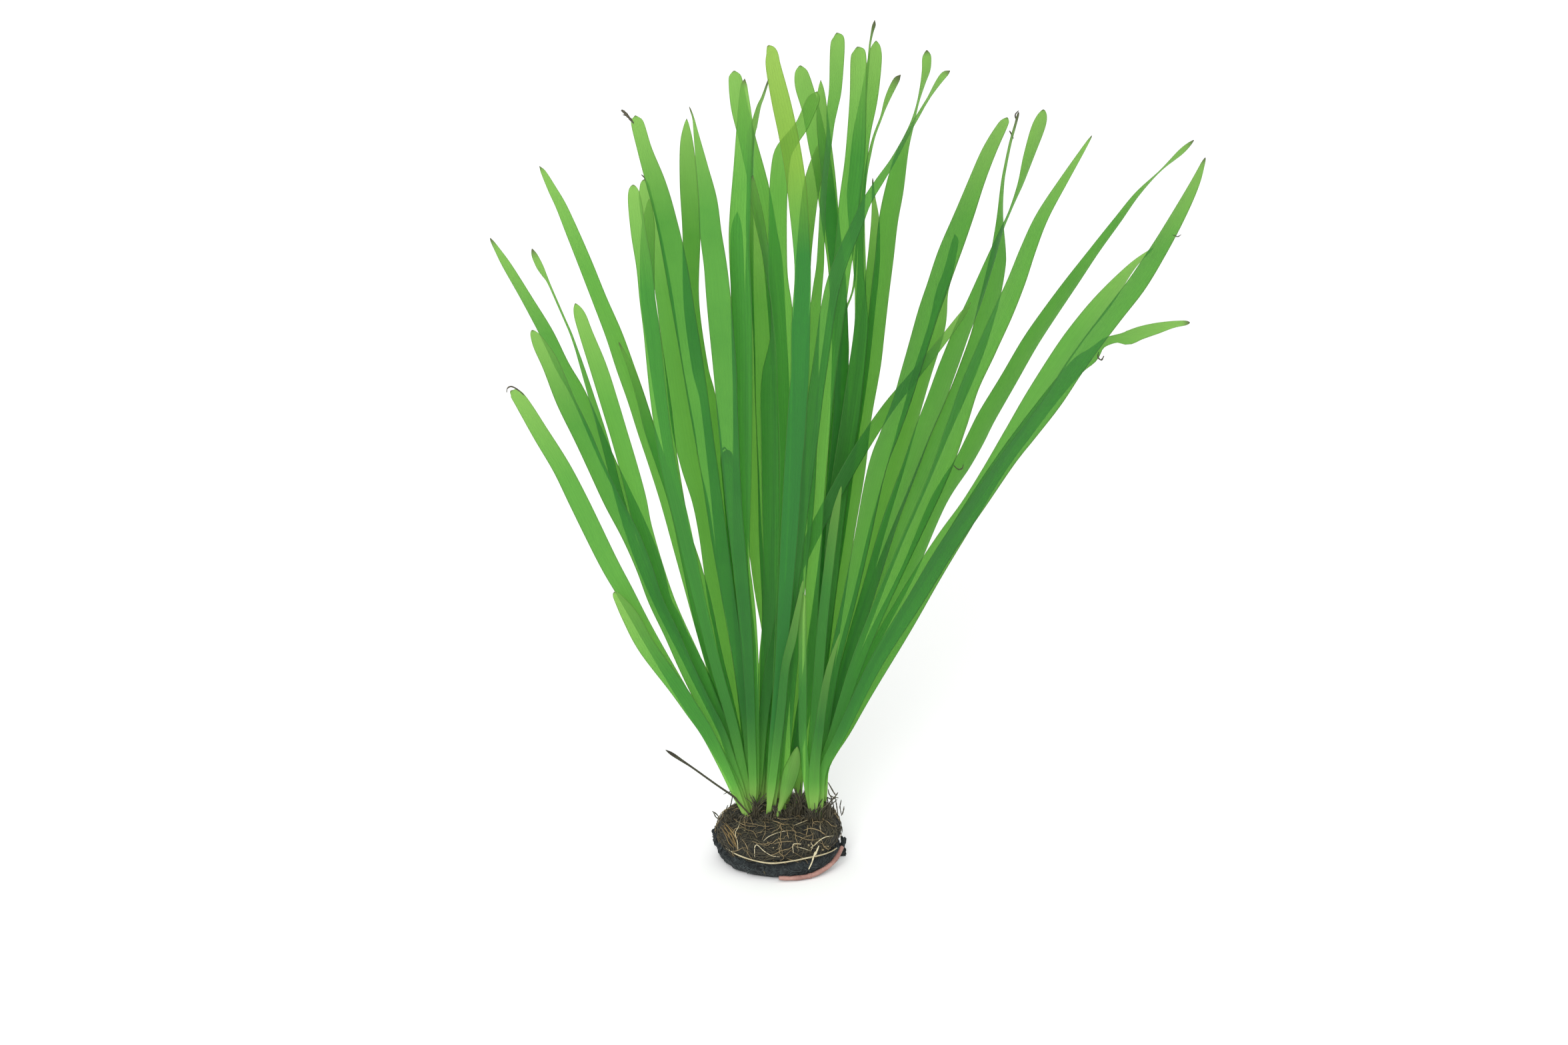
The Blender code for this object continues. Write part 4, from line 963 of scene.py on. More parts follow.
leaf_finishes = {
    "leaf_green": make_leaf_material("green_blade", GREEN_LOOK),
    "leaf_yellow_green": make_leaf_material("yellowing_blade", YELLOW_LOOK),
    "leaf_dead": make_leaf_material("dead_blade", DEAD_LOOK)}
print("leaf finishes:", list(leaf_finishes))

# %% [markdown]
# ## All the leaves
#
# Each leaf gets a shade of its own from a fixed list of random numbers, so that no two
# neighbours look alike and the plant comes out the same on every run.

# %% Build the leaves
SHADE_SEED = 7
LIGHTER = dict.fromkeys(("leaf_02", "leaf_07", "leaf_16", "leaf_22", "leaf_23", "leaf_27"), 1.2)
DARKER = dict.fromkeys(("leaf_03", "leaf_12", "leaf_13", "leaf_14", "leaf_25"), -1.2)
OWN_SHADES = {**LIGHTER, **DARKER}
PIECE_NAMES = {"young_leaf": "young_blade", "dead_leaf": "dead_strand"}
SLOTS = {"leaf_20": "leaf_yellow_green", "dead_leaf": "leaf_dead"}

shades = np.random.default_rng(SHADE_SEED).uniform(-1, 1, len(LEAVES))
blades = {}
for number, (node, leaf) in enumerate(LEAVES.items()):
    slot = SLOTS.get(node, "leaf_green")
    piece_name = PIECE_NAMES.get(node, node.replace("leaf", "blade"))
    shade = OWN_SHADES.get(node, shades[number])
    blades[node] = make_blade(node, leaf, number, piece_name, leaf_finishes[slot], shade)
print("blades:", len(blades), "with", sum(len(b.data.polygons) for b in blades.values()), "faces")

# %% [markdown]
# ## Finishes of the root ball
#
# The ball is a mass of fine roots, dark between them and tan where a strand catches the
# light. The body under the strands gets a matted grain, and the strands themselves a plain
# streaky skin, lighter or darker from one strand to the next.

# %% Root materials
NET_BEND = 0.004
PATCH_SCALE = 90.0
NET_SHARE = 0.6
PIT_SHARE = 0.75
MAT_RELIEF = 0.0006
FLECK_SCALE = 900.0
FLECK_SHARE = 0.4
KNOT_SCALE = 160.0
ROOT_RELIEF = 0.00015
ROUGHNESS_SPREAD = 0.1


def make_matted_material(name, dark, middle, light, scale):
    """A rough, fibrous body: pits between strands are dark, strands are light."""
    material, tree, output = new_material(name)
    place = put(tree, "ShaderNodeTexCoord").outputs["Object"]
    grain = use_group(tree, grain_group, Place=place, Scale=scale, Bend=NET_BEND).outputs
    patches = use_group(
        tree, blotch_group, Place=place, Scale=PATCH_SCALE, Low=0.35, High=0.65).outputs[0]
    base = mixed(tree, patches, dark, middle)
    base = mixed(tree, times(tree, grain["Strands"], NET_SHARE), base, light)
    base = mixed(tree, ramped(tree, grain["Pits"], 0.35, 0.6, PIT_SHARE, 0.0), base, dark)
    height = maths(tree, "ADD", grain["Strands"], grain["Pits"])
    skin = put(tree, "ShaderNodeBsdfPrincipled", {
        "Base Color": base, "Normal": bumped(tree, 0.9, MAT_RELIEF, height),
        "Roughness": ramped(tree, grain["Strands"], 0.0, 1.0, 0.95, 0.7)})
    fill(tree, output, {"Surface": skin.outputs[0]})
    return material


def make_strand_material(name, dark, light, knots=0.3, roughness=0.7):
    """The skin of a root: streaky, and lighter or darker from one strand to the next."""
    material, tree, output = new_material(name)
    place = put(tree, "ShaderNodeTexCoord").outputs["Object"]
    shade = read_value(tree, "strand_shade")
    flecks = use_group(
        tree, blotch_group, Place=place, Scale=FLECK_SCALE, Low=0.3, High=0.7).outputs[0]
    knotted = use_group(
        tree, blotch_group, Place=place, Scale=KNOT_SCALE, Low=0.42, High=0.62).outputs[0]
    base = mixed(tree, shade, dark, light)
    base = mixed(tree, times(tree, flecks, FLECK_SHARE), base, dark)
    base = mixed(tree, times(tree, knotted, knots), base, light)
    skin = put(tree, "ShaderNodeBsdfPrincipled", {
        "Base Color": base, "Normal": bumped(tree, 0.5, ROOT_RELIEF, flecks),
        "Roughness": ramped(
            tree, flecks, 0.0, 1.0, roughness - ROUGHNESS_SPREAD, roughness + ROUGHNESS_SPREAD)})
    fill(tree, output, {"Surface": skin.outputs[0]})
    return material


soil_finish = make_matted_material(
    "matted_soil", colour(14, 15, 12), colour(34, 35, 27), colour(70, 68, 52), 420.0)
mat_finish = make_matted_material(
    "slate_mat", colour(16, 20, 22), colour(36, 44, 46), colour(62, 72, 72), 360.0)
# Each kind of strand has a dark and a light tone
STRAND_TONES = {
    "olive": ((30, 29, 22), (82, 76, 54)), "tan": ((74, 62, 40), (160, 140, 100)),
    "bright": ((120, 106, 74), (214, 204, 170)), "amber": ((66, 54, 28), (142, 118, 70)),
    "pale": ((118, 106, 74), (206, 196, 162)), "slate": ((20, 25, 27), (64, 74, 74)),
    "loose": ((26, 26, 19), (78, 72, 52))}
strand_finishes = {
    kind: make_strand_material(kind + "_strands", *palette(*tones))
    for kind, tones in STRAND_TONES.items()}
runner_finish = make_strand_material(
    "pink_runner", colour(84, 46, 40), colour(182, 140, 128), knots=0.5, roughness=0.55)
print("strand finishes:", list(strand_finishes))

# %% [markdown]
# ## The ball and the mat under it
#
# Both are turned about the upright axis from a profile, then made uneven with noise at
# three scales: wide swells, lumps, and the ridges of roots that lie just under the skin.
# The solid forms in the frame are turned from the same profiles. Points and faces are laid
# in a fixed order, so that the strands scattered on them later come out the same each run.

# %% Turned bodies with an uneven skin
BODY_TURNS = 180
BODY_ROWS = 64
CORNER_SOFTNESS = 0.0008
SKIN_FADE = 0.002
SWELL_SCALE = 60
LUMP_SCALE = 260
RIDGE_SCALE = 620
RIDGE_SHIFT = Vector((5, 0, 0))


def fine_profile(profile, rows):
    """Points at even steps along the straight sides of a profile, a little rounded."""
    knots = np.array(profile)
    run = np.append(0, np.cumsum(np.hypot(*np.diff(knots, axis=0).T)))
    at = np.linspace(0, run[-1], rows)
    soft = sum(read_at(np.clip(at + shift, 0, run[-1]), run, knots)
               for shift in (-CORNER_SOFTNESS, 0.0, CORNER_SOFTNESS)) / 3
    soft[0], soft[-1] = knots[0], knots[-1]
    return soft


def turned_mesh(line):
    """Points and outward faces of a closed body, turned from (radius, height) pairs."""
    turns = np.linspace(0, 2 * math.pi, BODY_TURNS, endpoint=False)
    rings = [
        np.column_stack([
            radius * np.cos(turns), radius * np.sin(turns), np.full(BODY_TURNS, height)])
        for radius, height in line[1:-1]]
    points = np.vstack([*rings, (0, 0, line[0, 1]), (0, 0, line[-1, 1])])
    foot, top = len(points) - 2, len(points) - 1
    index = np.arange(foot).reshape(-1, BODY_TURNS)
    after = np.roll(index, -1, axis=1)
    wall = np.stack([index[:-1], after[:-1], after[1:], index[1:]], axis=-1)
    faces = []
    for turn in range(BODY_TURNS):
        faces.append((foot, after[0, turn], index[0, turn]))
        faces += wall[:, turn].tolist()
        faces.append((top, index[-1, turn], after[-1, turn]))
    return points, faces


def turned_body(name, profile, material, node, swell, lumps, ridges, floor):
    """A closed body turned from a profile. Heights under floor stay as they are."""
    points, faces = turned_mesh(fine_profile(profile, BODY_ROWS))
    mesh = mesh_from(name, points, faces, material)
    outward = [normal.vector.copy() for normal in mesh.vertex_normals]
    for vert, normal in zip(mesh.vertices, outward):
        place = vert.co.copy()
        push = swell * noise.noise(place * SWELL_SCALE) + lumps * noise.noise(place * LUMP_SCALE)
        ridge = 0.5 - abs(noise.noise(place * RIDGE_SCALE + RIDGE_SHIFT))
        push += 2 * ridges * ridge
        vert.co = place + normal * push * smooth_step((place.z - floor) / SKIN_FADE)
    mesh.update()
    return add_piece(mesh, node)


ball_foot = MAT_HEIGHT + GAP
ball_profile = [
    (0, ball_foot), (0.95 * PAD_RADIUS, ball_foot), (PAD_RADIUS, 0.0095),
    (PAD_RADIUS, 0.0125), (0.97 * PAD_RADIUS, 0.0150), (0.88 * PAD_RADIUS, 0.0170),
    (0.66 * PAD_RADIUS, 0.0193), (0.36 * PAD_RADIUS, 0.0208), (0, BALL_TOP_HEIGHT)]
mat_profile = [
    (0, 0), (0.90 * PAD_RADIUS, 0), (0.97 * PAD_RADIUS, 0.0012), (PAD_RADIUS, 0.0032),
    (0.99 * PAD_RADIUS, 0.0052), (0.96 * PAD_RADIUS, MAT_HEIGHT), (0, MAT_HEIGHT)]
ball = turned_body(
    "ball_of_roots", ball_profile, soil_finish, "root_ball",
    swell=0.0012, lumps=0.0008, ridges=0.0003, floor=ball_foot - SKIN_FADE)
mat = turned_body(
    "slate_mat", mat_profile, mat_finish, "base_mat",
    swell=0.0010, lumps=0.0009, ridges=0.0003, floor=0.0)
print("ball points:", len(ball.data.vertices), " mat points:", len(mat.data.vertices))

# %% [markdown]
# ## Strands that follow a surface
#
# Hundreds of fine roots wind over the ball. Geometry Nodes suits this: scatter points on
# the body, lay a short curve at each along the wall, bend it with noise, and pull every
# point of it back to the nearest place on the body. The tree has a named input for each
# size, so one tree makes the olive, tan and slate strands.

# %% The strand tree
STRAND_POINTS = 16
STRAND_SIDES = 4
SHORTEST, LONGEST = 0.45, 1.3
WIGGLE_SCALE = 110.0
WIGGLE_STEP = 60.0
RISE_SCALE = 160.0
RISE_STEP = 90.0
END_THICKNESS = 0.35
LOWEST_FACING = -0.5


def make_strand_tree():
    """Strands that wander over a body, each with a shade and a length of its own."""
    tree = bpy.data.node_groups.new("strands_on_a_body", "GeometryNodeTree")
    for key, kind in (
            ("Body", "Geometry"), ("Density", "Float"), ("Length", "Float"), ("Radius", "Float"),
            ("Spread", "Float"), ("Wander", "Float"), ("Lift", "Float"), ("Loft", "Float"),
            ("Seed", "Int"), ("Finish", "Material")):
        tree.interface.new_socket(name=key, in_out="INPUT", socket_type="NodeSocket" + kind)
    tree.interface.new_socket(name="Strands", in_out="OUTPUT", socket_type="NodeSocketGeometry")
    given = tree.nodes.new("NodeGroupInput").outputs
    normal = put(tree, "GeometryNodeInputNormal").outputs[0]
    here = put(tree, "GeometryNodeInputPosition").outputs[0]

    # Points everywhere but on the underside, each with a heading along the wall and a shade
    upward = put(tree, "ShaderNodeSeparateXYZ", {0: normal}).outputs[2]
    scattered = put(tree, "GeometryNodeDistributePointsOnFaces", {
        "Mesh": given["Body"], "Selection": maths(tree, "GREATER_THAN", upward, LOWEST_FACING),
        "Density": given["Density"], "Seed": given["Seed"]})
    round_wall = put(tree, "ShaderNodeVectorMath", {
        0: scattered.outputs["Normal"], 1: (0, 0, 1)}, operation="CROSS_PRODUCT")
    chance = put(tree, "FunctionNodeRandomValue", {
        0: (-1, -1, -1), 1: (1, 1, 1), "Seed": given["Seed"]}, data_type="FLOAT_VECTOR")
    heading = added(
        tree, round_wall.outputs[0], scaled(tree, chance.outputs[0], given["Spread"]))
    shade = put(tree, "FunctionNodeRandomValue", {
        2: 0.0, 3: 1.0, "Seed": given["Seed"]}, data_type="FLOAT").outputs[1]
    marked = put(tree, "GeometryNodeStoreNamedAttribute", {
        "Geometry": scattered.outputs["Points"], "Name": "strand_shade", "Value": shade},
        data_type="FLOAT", domain="POINT")

    # A short line on each point
    line = put(tree, "GeometryNodeCurvePrimitiveLine", {"Start": (-0.5, 0, 0), "End": (0.5, 0, 0)})
    stepped = put(tree, "GeometryNodeResampleCurve", {
        "Curve": line.outputs[0], "Count": STRAND_POINTS})
    turn = put(tree, "FunctionNodeAlignRotationToVector", {"Vector": heading}, axis="X")
    length = ramped(tree, shade, 0.0, 1.0, SHORTEST, LONGEST)
    laid = put(tree, "GeometryNodeInstanceOnPoints", {
        "Points": marked.outputs[0], "Instance": stepped.outputs[0], "Rotation": turn.outputs[0],
        "Scale": times(tree, given["Length"], length)})
    real = put(tree, "GeometryNodeRealizeInstances", {0: laid.outputs[0]})

    # Bend it, pull it back to the body, and lift it here and there
    own = put(tree, "GeometryNodeInputNamedAttribute", {"Name": "strand_shade"}, data_type="FLOAT")
    wiggle = put(tree, "ShaderNodeTexNoise", {
        "Vector": here, "W": times(tree, own.outputs[0], WIGGLE_STEP), "Scale": WIGGLE_SCALE,
        "Detail": 2.0}, noise_dimensions="4D")
    centred = put(tree, "ShaderNodeVectorMath", {
        0: wiggle.outputs[1], 1: (0.5, 0.5, 0.5)}, operation="SUBTRACT")
    bent = put(tree, "GeometryNodeSetPosition", {
        "Geometry": real.outputs[0],
        "Offset": scaled(tree, centred.outputs[0], given["Wander"])})
    nearest = put(tree, "GeometryNodeProximity", {
        "Geometry": given["Body"]}, target_element="FACES")
    snapped = put(tree, "GeometryNodeSetPosition", {
        "Geometry": bent.outputs[0], "Position": nearest.outputs["Position"]})
    outward = put(tree, "GeometryNodeSampleNearestSurface", {
        "Mesh": given["Body"], "Value": normal}, data_type="FLOAT_VECTOR")
    rise = put(tree, "ShaderNodeTexNoise", {
        "Vector": here, "W": times(tree, own.outputs[0], RISE_STEP), "Scale": RISE_SCALE,
        "Detail": 1.0}, noise_dimensions="4D")
    loft = ramped(tree, rise.outputs[0], 0.35, 0.75, given["Lift"], given["Loft"])
    lifted = put(tree, "GeometryNodeSetPosition", {
        "Geometry": snapped.outputs[0], "Offset": scaled(tree, outward.outputs[0], loft)})

    # Sweep a ring along it, thinner at both ends
    along = put(tree, "GeometryNodeSplineParameter").outputs[0]
    middle = maths(tree, "SINE", times(tree, along, math.pi))
    taper = ramped(tree, middle, 0.0, 1.0, END_THICKNESS, 1.0)
    ring = put(tree, "GeometryNodeCurvePrimitiveCircle", {
        "Resolution": STRAND_SIDES, "Radius": 1.0})
    tubes = put(tree, "GeometryNodeCurveToMesh", {
        "Curve": lifted.outputs[0], "Profile Curve": ring.outputs[0],
        "Scale": times(tree, taper, given["Radius"]), "Fill Caps": True})
    plain = put(tree, "GeometryNodeRealizeInstances", {0: tubes.outputs[0]})
    finished = put(tree, "GeometryNodeSetMaterial", {
        "Geometry": plain.outputs[0], "Material": given["Finish"]})
    fill(tree, tree.nodes.new("NodeGroupOutput"), {0: finished.outputs[0]})
    return tree


strand_tree = make_strand_tree()


# %% Grow strands on a body
LEAST_HEIGHT = 0.0001


def grow(name, body, slot, **sizes):
    """A plain mesh of strands over a body, made once by the strand tree."""
    worker = bpy.data.objects.new(name + "_tree", body.data)
    bpy.context.scene.collection.objects.link(worker)
    modifier = worker.modifiers.new("strands", "NODES")
    modifier.node_group = strand_tree
    for item in strand_tree.interface.items_tree:
        if item.in_out == "INPUT" and item.name in sizes:
            modifier[item.identifier] = sizes[item.name]
    state = bpy.context.evaluated_depsgraph_get()
    mesh = bpy.data.meshes.new_from_object(worker.evaluated_get(state))
    mesh.name = name
    worker.modifiers.clear()
    bpy.data.objects.remove(worker)
    mesh.shade_smooth()
    for vert in mesh.vertices:
        vert.co.z = max(vert.co.z, LEAST_HEIGHT)
    add_piece(mesh)
    print(name, "faces:", len(mesh.polygons))


grow("olive_roots", ball, "matted_roots", Density=170000.0, Length=0.012, Radius=0.00015,
     Spread=1.3, Wander=0.009, Lift=0.0, Loft=0.0010, Seed=3, Finish=strand_finishes["olive"])
grow("tan_roots", ball, "matted_roots", Density=26000.0, Length=0.010, Radius=0.00013,
     Spread=1.3, Wander=0.010, Lift=0.0003, Loft=0.0018, Seed=11, Finish=strand_finishes["tan"])
grow("slate_fibres", mat, "dark_mat", Density=90000.0, Length=0.009, Radius=0.00016,
     Spread=0.9, Wander=0.005, Lift=0.0, Loft=0.0005, Seed=5, Finish=strand_finishes["slate"])

# %% [markdown]
# ## Roots that can be told apart
#
# A few thicker roots stand out and are drawn one by one: the pale root round the foot of
# the ball, an upright one that crosses it, the pinkish runner and a bundle of yellow-brown
# roots. A route on the wall is given as degrees round from the front and a height. The
# function below sweeps a ring of points along any path and closes both ends.

# %% Tubes along paths
OFF_UPRIGHT = (0.3, 0.2, 0.93)
RADIUS_KNOTS = 14


def tube_arrays(path, radii, sides):
    """Points and faces of one closed tube along a path."""
    along = unit(np.gradient(path, axis=0))
    side = unit(np.cross(along, OFF_UPRIGHT))
    up = np.cross(side, along)
    turns = np.linspace(0, 2 * math.pi, sides, endpoint=False)
    ring = side[:, None] * np.cos(turns)[:, None] + up[:, None] * np.sin(turns)[:, None]
    points = (path[:, None] + ring * np.asarray(radii)[:, None, None]).reshape(-1, 3)
    last = (len(path) - 1) * sides
    faces = [
        (row + column, row + after, row + sides + after, row + sides + column)
        for row in range(0, last, sides)
        for column, after in zip(range(sides), [*range(1, sides), 0])]
    faces += [tuple(range(sides))[::-1], tuple(range(last, last + sides))]
    return points, faces


def make_tubes(name, tubes, finish, node="", sides=6):
    """Several tubes as one piece. tubes has (path, radii, shade) for each."""
    points, faces, shades, start = [], [], [], 0
    for path, radii, shade in tubes:
        new_points, new_faces = tube_arrays(np.asarray(path), radii, sides)
        points.append(new_points)
        faces += [tuple(start + corner for corner in face) for face in new_faces]
        shades.append(np.full(len(new_points), shade))
        start += len(new_points)
    add_piece(mesh_from(
        name, np.vstack(points), faces, finish, strand_shade=np.concatenate(shades)), node)


def wall_path(route, reach, count):
    """A smooth path on the wall through (degrees round, height) pairs."""
    knots = [(reach * math.sin(math.radians(turn)), -reach * math.cos(math.radians(turn)), z)
             for turn, z in route]
    return smooth_through(knots, count)


def tapered(count, radius, ends=0.4, lumps=0.1, seed=0):
    """Radii along a root: thinner at both ends and a little lumpy."""
    at = np.linspace(0, 1, count)
    rough = np.random.default_rng(seed).uniform(-1, 1, RADIUS_KNOTS)
    uneven = np.interp(at, np.linspace(0, 1, RADIUS_KNOTS), rough)
    return radius * (ends + (1 - ends) * np.sin(math.pi * at) ** 0.5) * (1 + lumps * uneven)


# %% The runner and the pale roots
RUNNER_RADIUS = 0.00095
RUNNER_REACH = PAD_RADIUS + 0.0018
RUNNER_ROUTE = [
    (-1, 0.0017), (10, 0.0014), (25, 0.0013), (38, 0.0021), (51, 0.0034), (62, 0.0052),
    (71, 0.0072)]
LOW_ROOT_RADIUS = 0.00033
LOW_ROOT_REACH = PAD_RADIUS + 0.0013
LOW_ROOT_ROUTE = [
    (-56, 0.0091), (-40, 0.0086), (-23, 0.0080), (-7, 0.0077), (10, 0.0085),
    (24, 0.0090), (40, 0.0087), (52, 0.0084), (62, 0.0083)]
UPRIGHT_ROOT_RADIUS = 0.00032
UPRIGHT_ROOT_REACH = PAD_RADIUS + 0.0025
UPRIGHT_ROOT_ROUTE = [(35, 0.0137), (33, 0.0118), (30, 0.0098), (28, 0.0072), (25, 0.0046)]
RUNNER_JOINTS = (0.345, 0.365)


def swollen(radii, at, spread, swell):
    """Radii with a joint: a swelling centred at a share of the length."""
    places = np.linspace(0, 1, len(radii))
    return radii * (1 + swell * np.exp(-((places - at) / spread) ** 2))


runner_path = wall_path(RUNNER_ROUTE, RUNNER_REACH, 140)
runner_radii = tapered(140, RUNNER_RADIUS, 0.75, 0.12, 1)
for at in RUNNER_JOINTS:
    runner_radii = swollen(runner_radii, at, 0.006, 0.22)
make_tubes("runner_stem", [(runner_path, runner_radii, 0.5)], runner_finish,
           "runner", sides=14)
low_path = wall_path(LOW_ROOT_ROUTE, LOW_ROOT_REACH, 110)
low_radii = tapered(110, LOW_ROOT_RADIUS, 0.5, 0.22, 2)
make_tubes("low_pale_root", [(low_path, low_radii, 0.55)], strand_finishes["pale"],
           "pale_root_low", sides=9)
upright_path = wall_path(UPRIGHT_ROOT_ROUTE, UPRIGHT_ROOT_REACH, 70)
upright_radii = swollen(tapered(70, UPRIGHT_ROOT_RADIUS, 0.5, 0.35, 3), 0.36, 0.07, 1.1)
make_tubes("upright_pale_root", [(upright_path, upright_radii, 0.9)], strand_finishes["pale"],
           "pale_root_upright", sides=9)

# %% [markdown]
# ## Single strands on the ball
#
# The roots that catch the eye are traced one by one, like the leaves: a few points on the
# picture plane for each. A ray from the eye through each point finds the ball or the mat,
# and the strand lies a little in front of what the ray meets. A point past the edge of the
# ball has nothing to meet, so it takes the depth of the ball's middle and hangs in the air.

# %% Traces laid on the ball
STRAND_LIFT = 0.0006
HANGING_DEPTH = 0.0
ball_parts = [BVHTree.FromPolygons(
    [vert.co for vert in body.data.vertices],
    [tuple(face.vertices) for face in body.data.polygons]) for body in (ball, mat)]


def lay_on_ball(trace, lift=STRAND_LIFT, count=0):
    """A smooth path over the ball through traced points of the picture plane."""
    across, down = np.array(trace, float).T
    points = []
    for line in sight_lines(across, down):
        way = Vector(line).normalized()
        hits = [body.ray_cast(Vector(EYE), way) for body in ball_parts]
        reaches = [hit[3] for hit in hits if hit[0] is not None]
        reach = min(reaches) - lift if reaches else (HANGING_DEPTH - EYE[1]) / way.y
        points.append(EYE + np.array(way) * reach)
    return smooth_through(points, count or 8 * len(points))


def place_on_ball(across, down, lift):
    """One point of the ball or the mat."""
    return lay_on_ball([(across, down)] * 2, lift, 2)[0]


def strands_from(traces, radius, seed):
    """Tubes along traces, each with its own thickness and shade."""
    chance = np.random.default_rng(seed)
    tubes = []
    for number, trace in enumerate(traces):
        path = lay_on_ball(trace, STRAND_LIFT * chance.uniform(0.5, 1.8))
        thick = radius * chance.uniform(0.75, 1.3)
        radii = tapered(len(path), thick, 0.35, 0.25, seed + number)
        tubes.append((path, radii, chance.uniform(0, 1)))
    return tubes


TAN_TRACES = [
    [(1110, 1238), (1120, 1245), (1130, 1248), (1136, 1258)],
    [(1122, 1216), (1126, 1228), (1130, 1238)],
    [(1140, 1228), (1147, 1235), (1148, 1248), (1143, 1260)],
    [(1142, 1225), (1152, 1230), (1165, 1233), (1178, 1238)],
    [(1112, 1233), (1128, 1236), (1150, 1240), (1170, 1236)],
    [(1145, 1246), (1158, 1243), (1170, 1238), (1182, 1232)],
    [(1180, 1240), (1181, 1250), (1183, 1258)],
    [(1168, 1256), (1172, 1264), (1170, 1272), (1164, 1275)],
    [(1212, 1238), (1211, 1246), (1209, 1254)],
    [(1185, 1213), (1195, 1209), (1205, 1206)],
    [(1192, 1190), (1203, 1198), (1212, 1196)],
    [(1218, 1220), (1226, 1216), (1236, 1213)],
    [(1160, 1266), (1175, 1263), (1190, 1262)],
    [(1240, 1206), (1243, 1216), (1239, 1228)],
    [(1180, 1288), (1190, 1291), (1198, 1294)],
    [(1150, 1286), (1162, 1292), (1180, 1296)],
    [(1240, 1275), (1249, 1268), (1258, 1258)],
    [(1250, 1276), (1256, 1262), (1259, 1246)],
    [(1100, 1228), (1108, 1234), (1120, 1239), (1134, 1240)],
    [(1200, 1222), (1188, 1228), (1172, 1229), (1160, 1226)],
    [(1205, 1246), (1216, 1243), (1228, 1246), (1238, 1252)],
    [(1190, 1252), (1200, 1256), (1212, 1260), (1226, 1260)],
    [(1128, 1262), (1138, 1266), (1150, 1266), (1158, 1262)],
    [(1186, 1276), (1196, 1282), (1208, 1290), (1212, 1296)],
    [(1112, 1258), (1118, 1266), (1122, 1276), (1120, 1284)]]
BRIGHT_TRACES = [
    [(1112, 1224), (1108, 1240), (1103, 1250), (1106, 1262), (1107, 1275)],
    [(1190, 1239), (1200, 1235), (1213, 1230), (1220, 1227)],
    [(1145, 1262), (1152, 1256), (1160, 1252), (1172, 1248), (1179, 1247)],
    [(1132, 1286), (1132, 1272), (1136, 1268), (1146, 1277), (1158, 1284), (1170, 1286)],
    [(1190, 1280), (1190, 1267), (1202, 1266)],
    [(1192, 1270), (1205, 1273), (1216, 1277)],
    [(1207, 1198), (1209, 1208), (1208, 1218)],
    [(1232, 1232), (1230, 1240), (1232, 1249)],
    [(1216, 1272), (1222, 1268), (1228, 1262), (1238, 1256), (1251, 1254)],
    [(1216, 1264), (1219, 1270), (1216, 1277)],
    [(1222, 1210), (1226, 1218), (1224, 1226)]]
AMBER_TRACES = [
    [(1082, 1236), (1090, 1246), (1098, 1254), (1103, 1265), (1107, 1277)],
    [(1084, 1233), (1094, 1243), (1101, 1252), (1105, 1262)],
    [(1080, 1240), (1087, 1248), (1096, 1259), (1102, 1270)],
    [(1086, 1238), (1092, 1249), (1095, 1257), (1104, 1268)],
    [(1088, 1234), (1098, 1244), (1106, 1250), (1112, 1252)],
    [(1083, 1244), (1089, 1254), (1093, 1264), (1100, 1272)],
    [(1084, 1230), (1090, 1237), (1096, 1247), (1100, 1261), (1104, 1272)]]
LOOSE_TRACES = [
    [(1085, 1192), (1091, 1189), (1098, 1188), (1102, 1192)],
    [(1099, 1192), (1097, 1204), (1093, 1215), (1089, 1222)],
    [(1070, 1219), (1074, 1226), (1081, 1231)],
    [(1068, 1217), (1074, 1221), (1080, 1228)],
    [(1092, 1208), (1090, 1214), (1093, 1221)],
    [(1242, 1184), (1244, 1192), (1250, 1196), (1258, 1197)],
    [(1257, 1189), (1252, 1196), (1246, 1202), (1243, 1208)],
    [(1262, 1200), (1260, 1211), (1262, 1222)],
    [(1253, 1198), (1255, 1210), (1257, 1223)],
    [(1246, 1198), (1250, 1208), (1251, 1220)],
    [(1242, 1174), (1246, 1181), (1250, 1188), (1254, 1194)],
    [(1240, 1196), (1247, 1199), (1254, 1197)],
    [(1243, 1190), (1248, 1200), (1246, 1210), (1250, 1216)],
    [(1145, 1304), (1146, 1308), (1148, 1312)],
    [(1262, 1224), (1265, 1217), (1266, 1210)],
    [(1068, 1256), (1073, 1254), (1078, 1257)]]

# %% Make the single strands
# Each piece: its name, traces, radius in metres, seed, kind of strand and sides
for name, traces, radius, seed, kind, sides in (
        ("tan_traced_roots", TAN_TRACES, 0.00013, 31, "tan", 6),
        ("bright_traced_roots", BRIGHT_TRACES, 0.00015, 47, "bright", 6),
        ("amber_root_bundle", AMBER_TRACES, 0.00018, 61, "amber", 6),
        ("loose_fibres", LOOSE_TRACES, 0.00024, 83, "loose", 5)):
    strands = strands_from(traces, radius, seed)
    make_tubes(name, strands, strand_finishes[kind], sides=sides)
    print(name, "strands:", len(strands))

# %% [markdown]
# ## A tuft between the leaf bases, flakes and grains
#
# Dark fibres stand up between the leaf bases, where the crown meets the ball. Torn flakes
# of the dark medium stick to the side of the mat, and a few pale grains catch the light.
# Flakes and grains are balls of few faces, squashed and pushed about by chance.

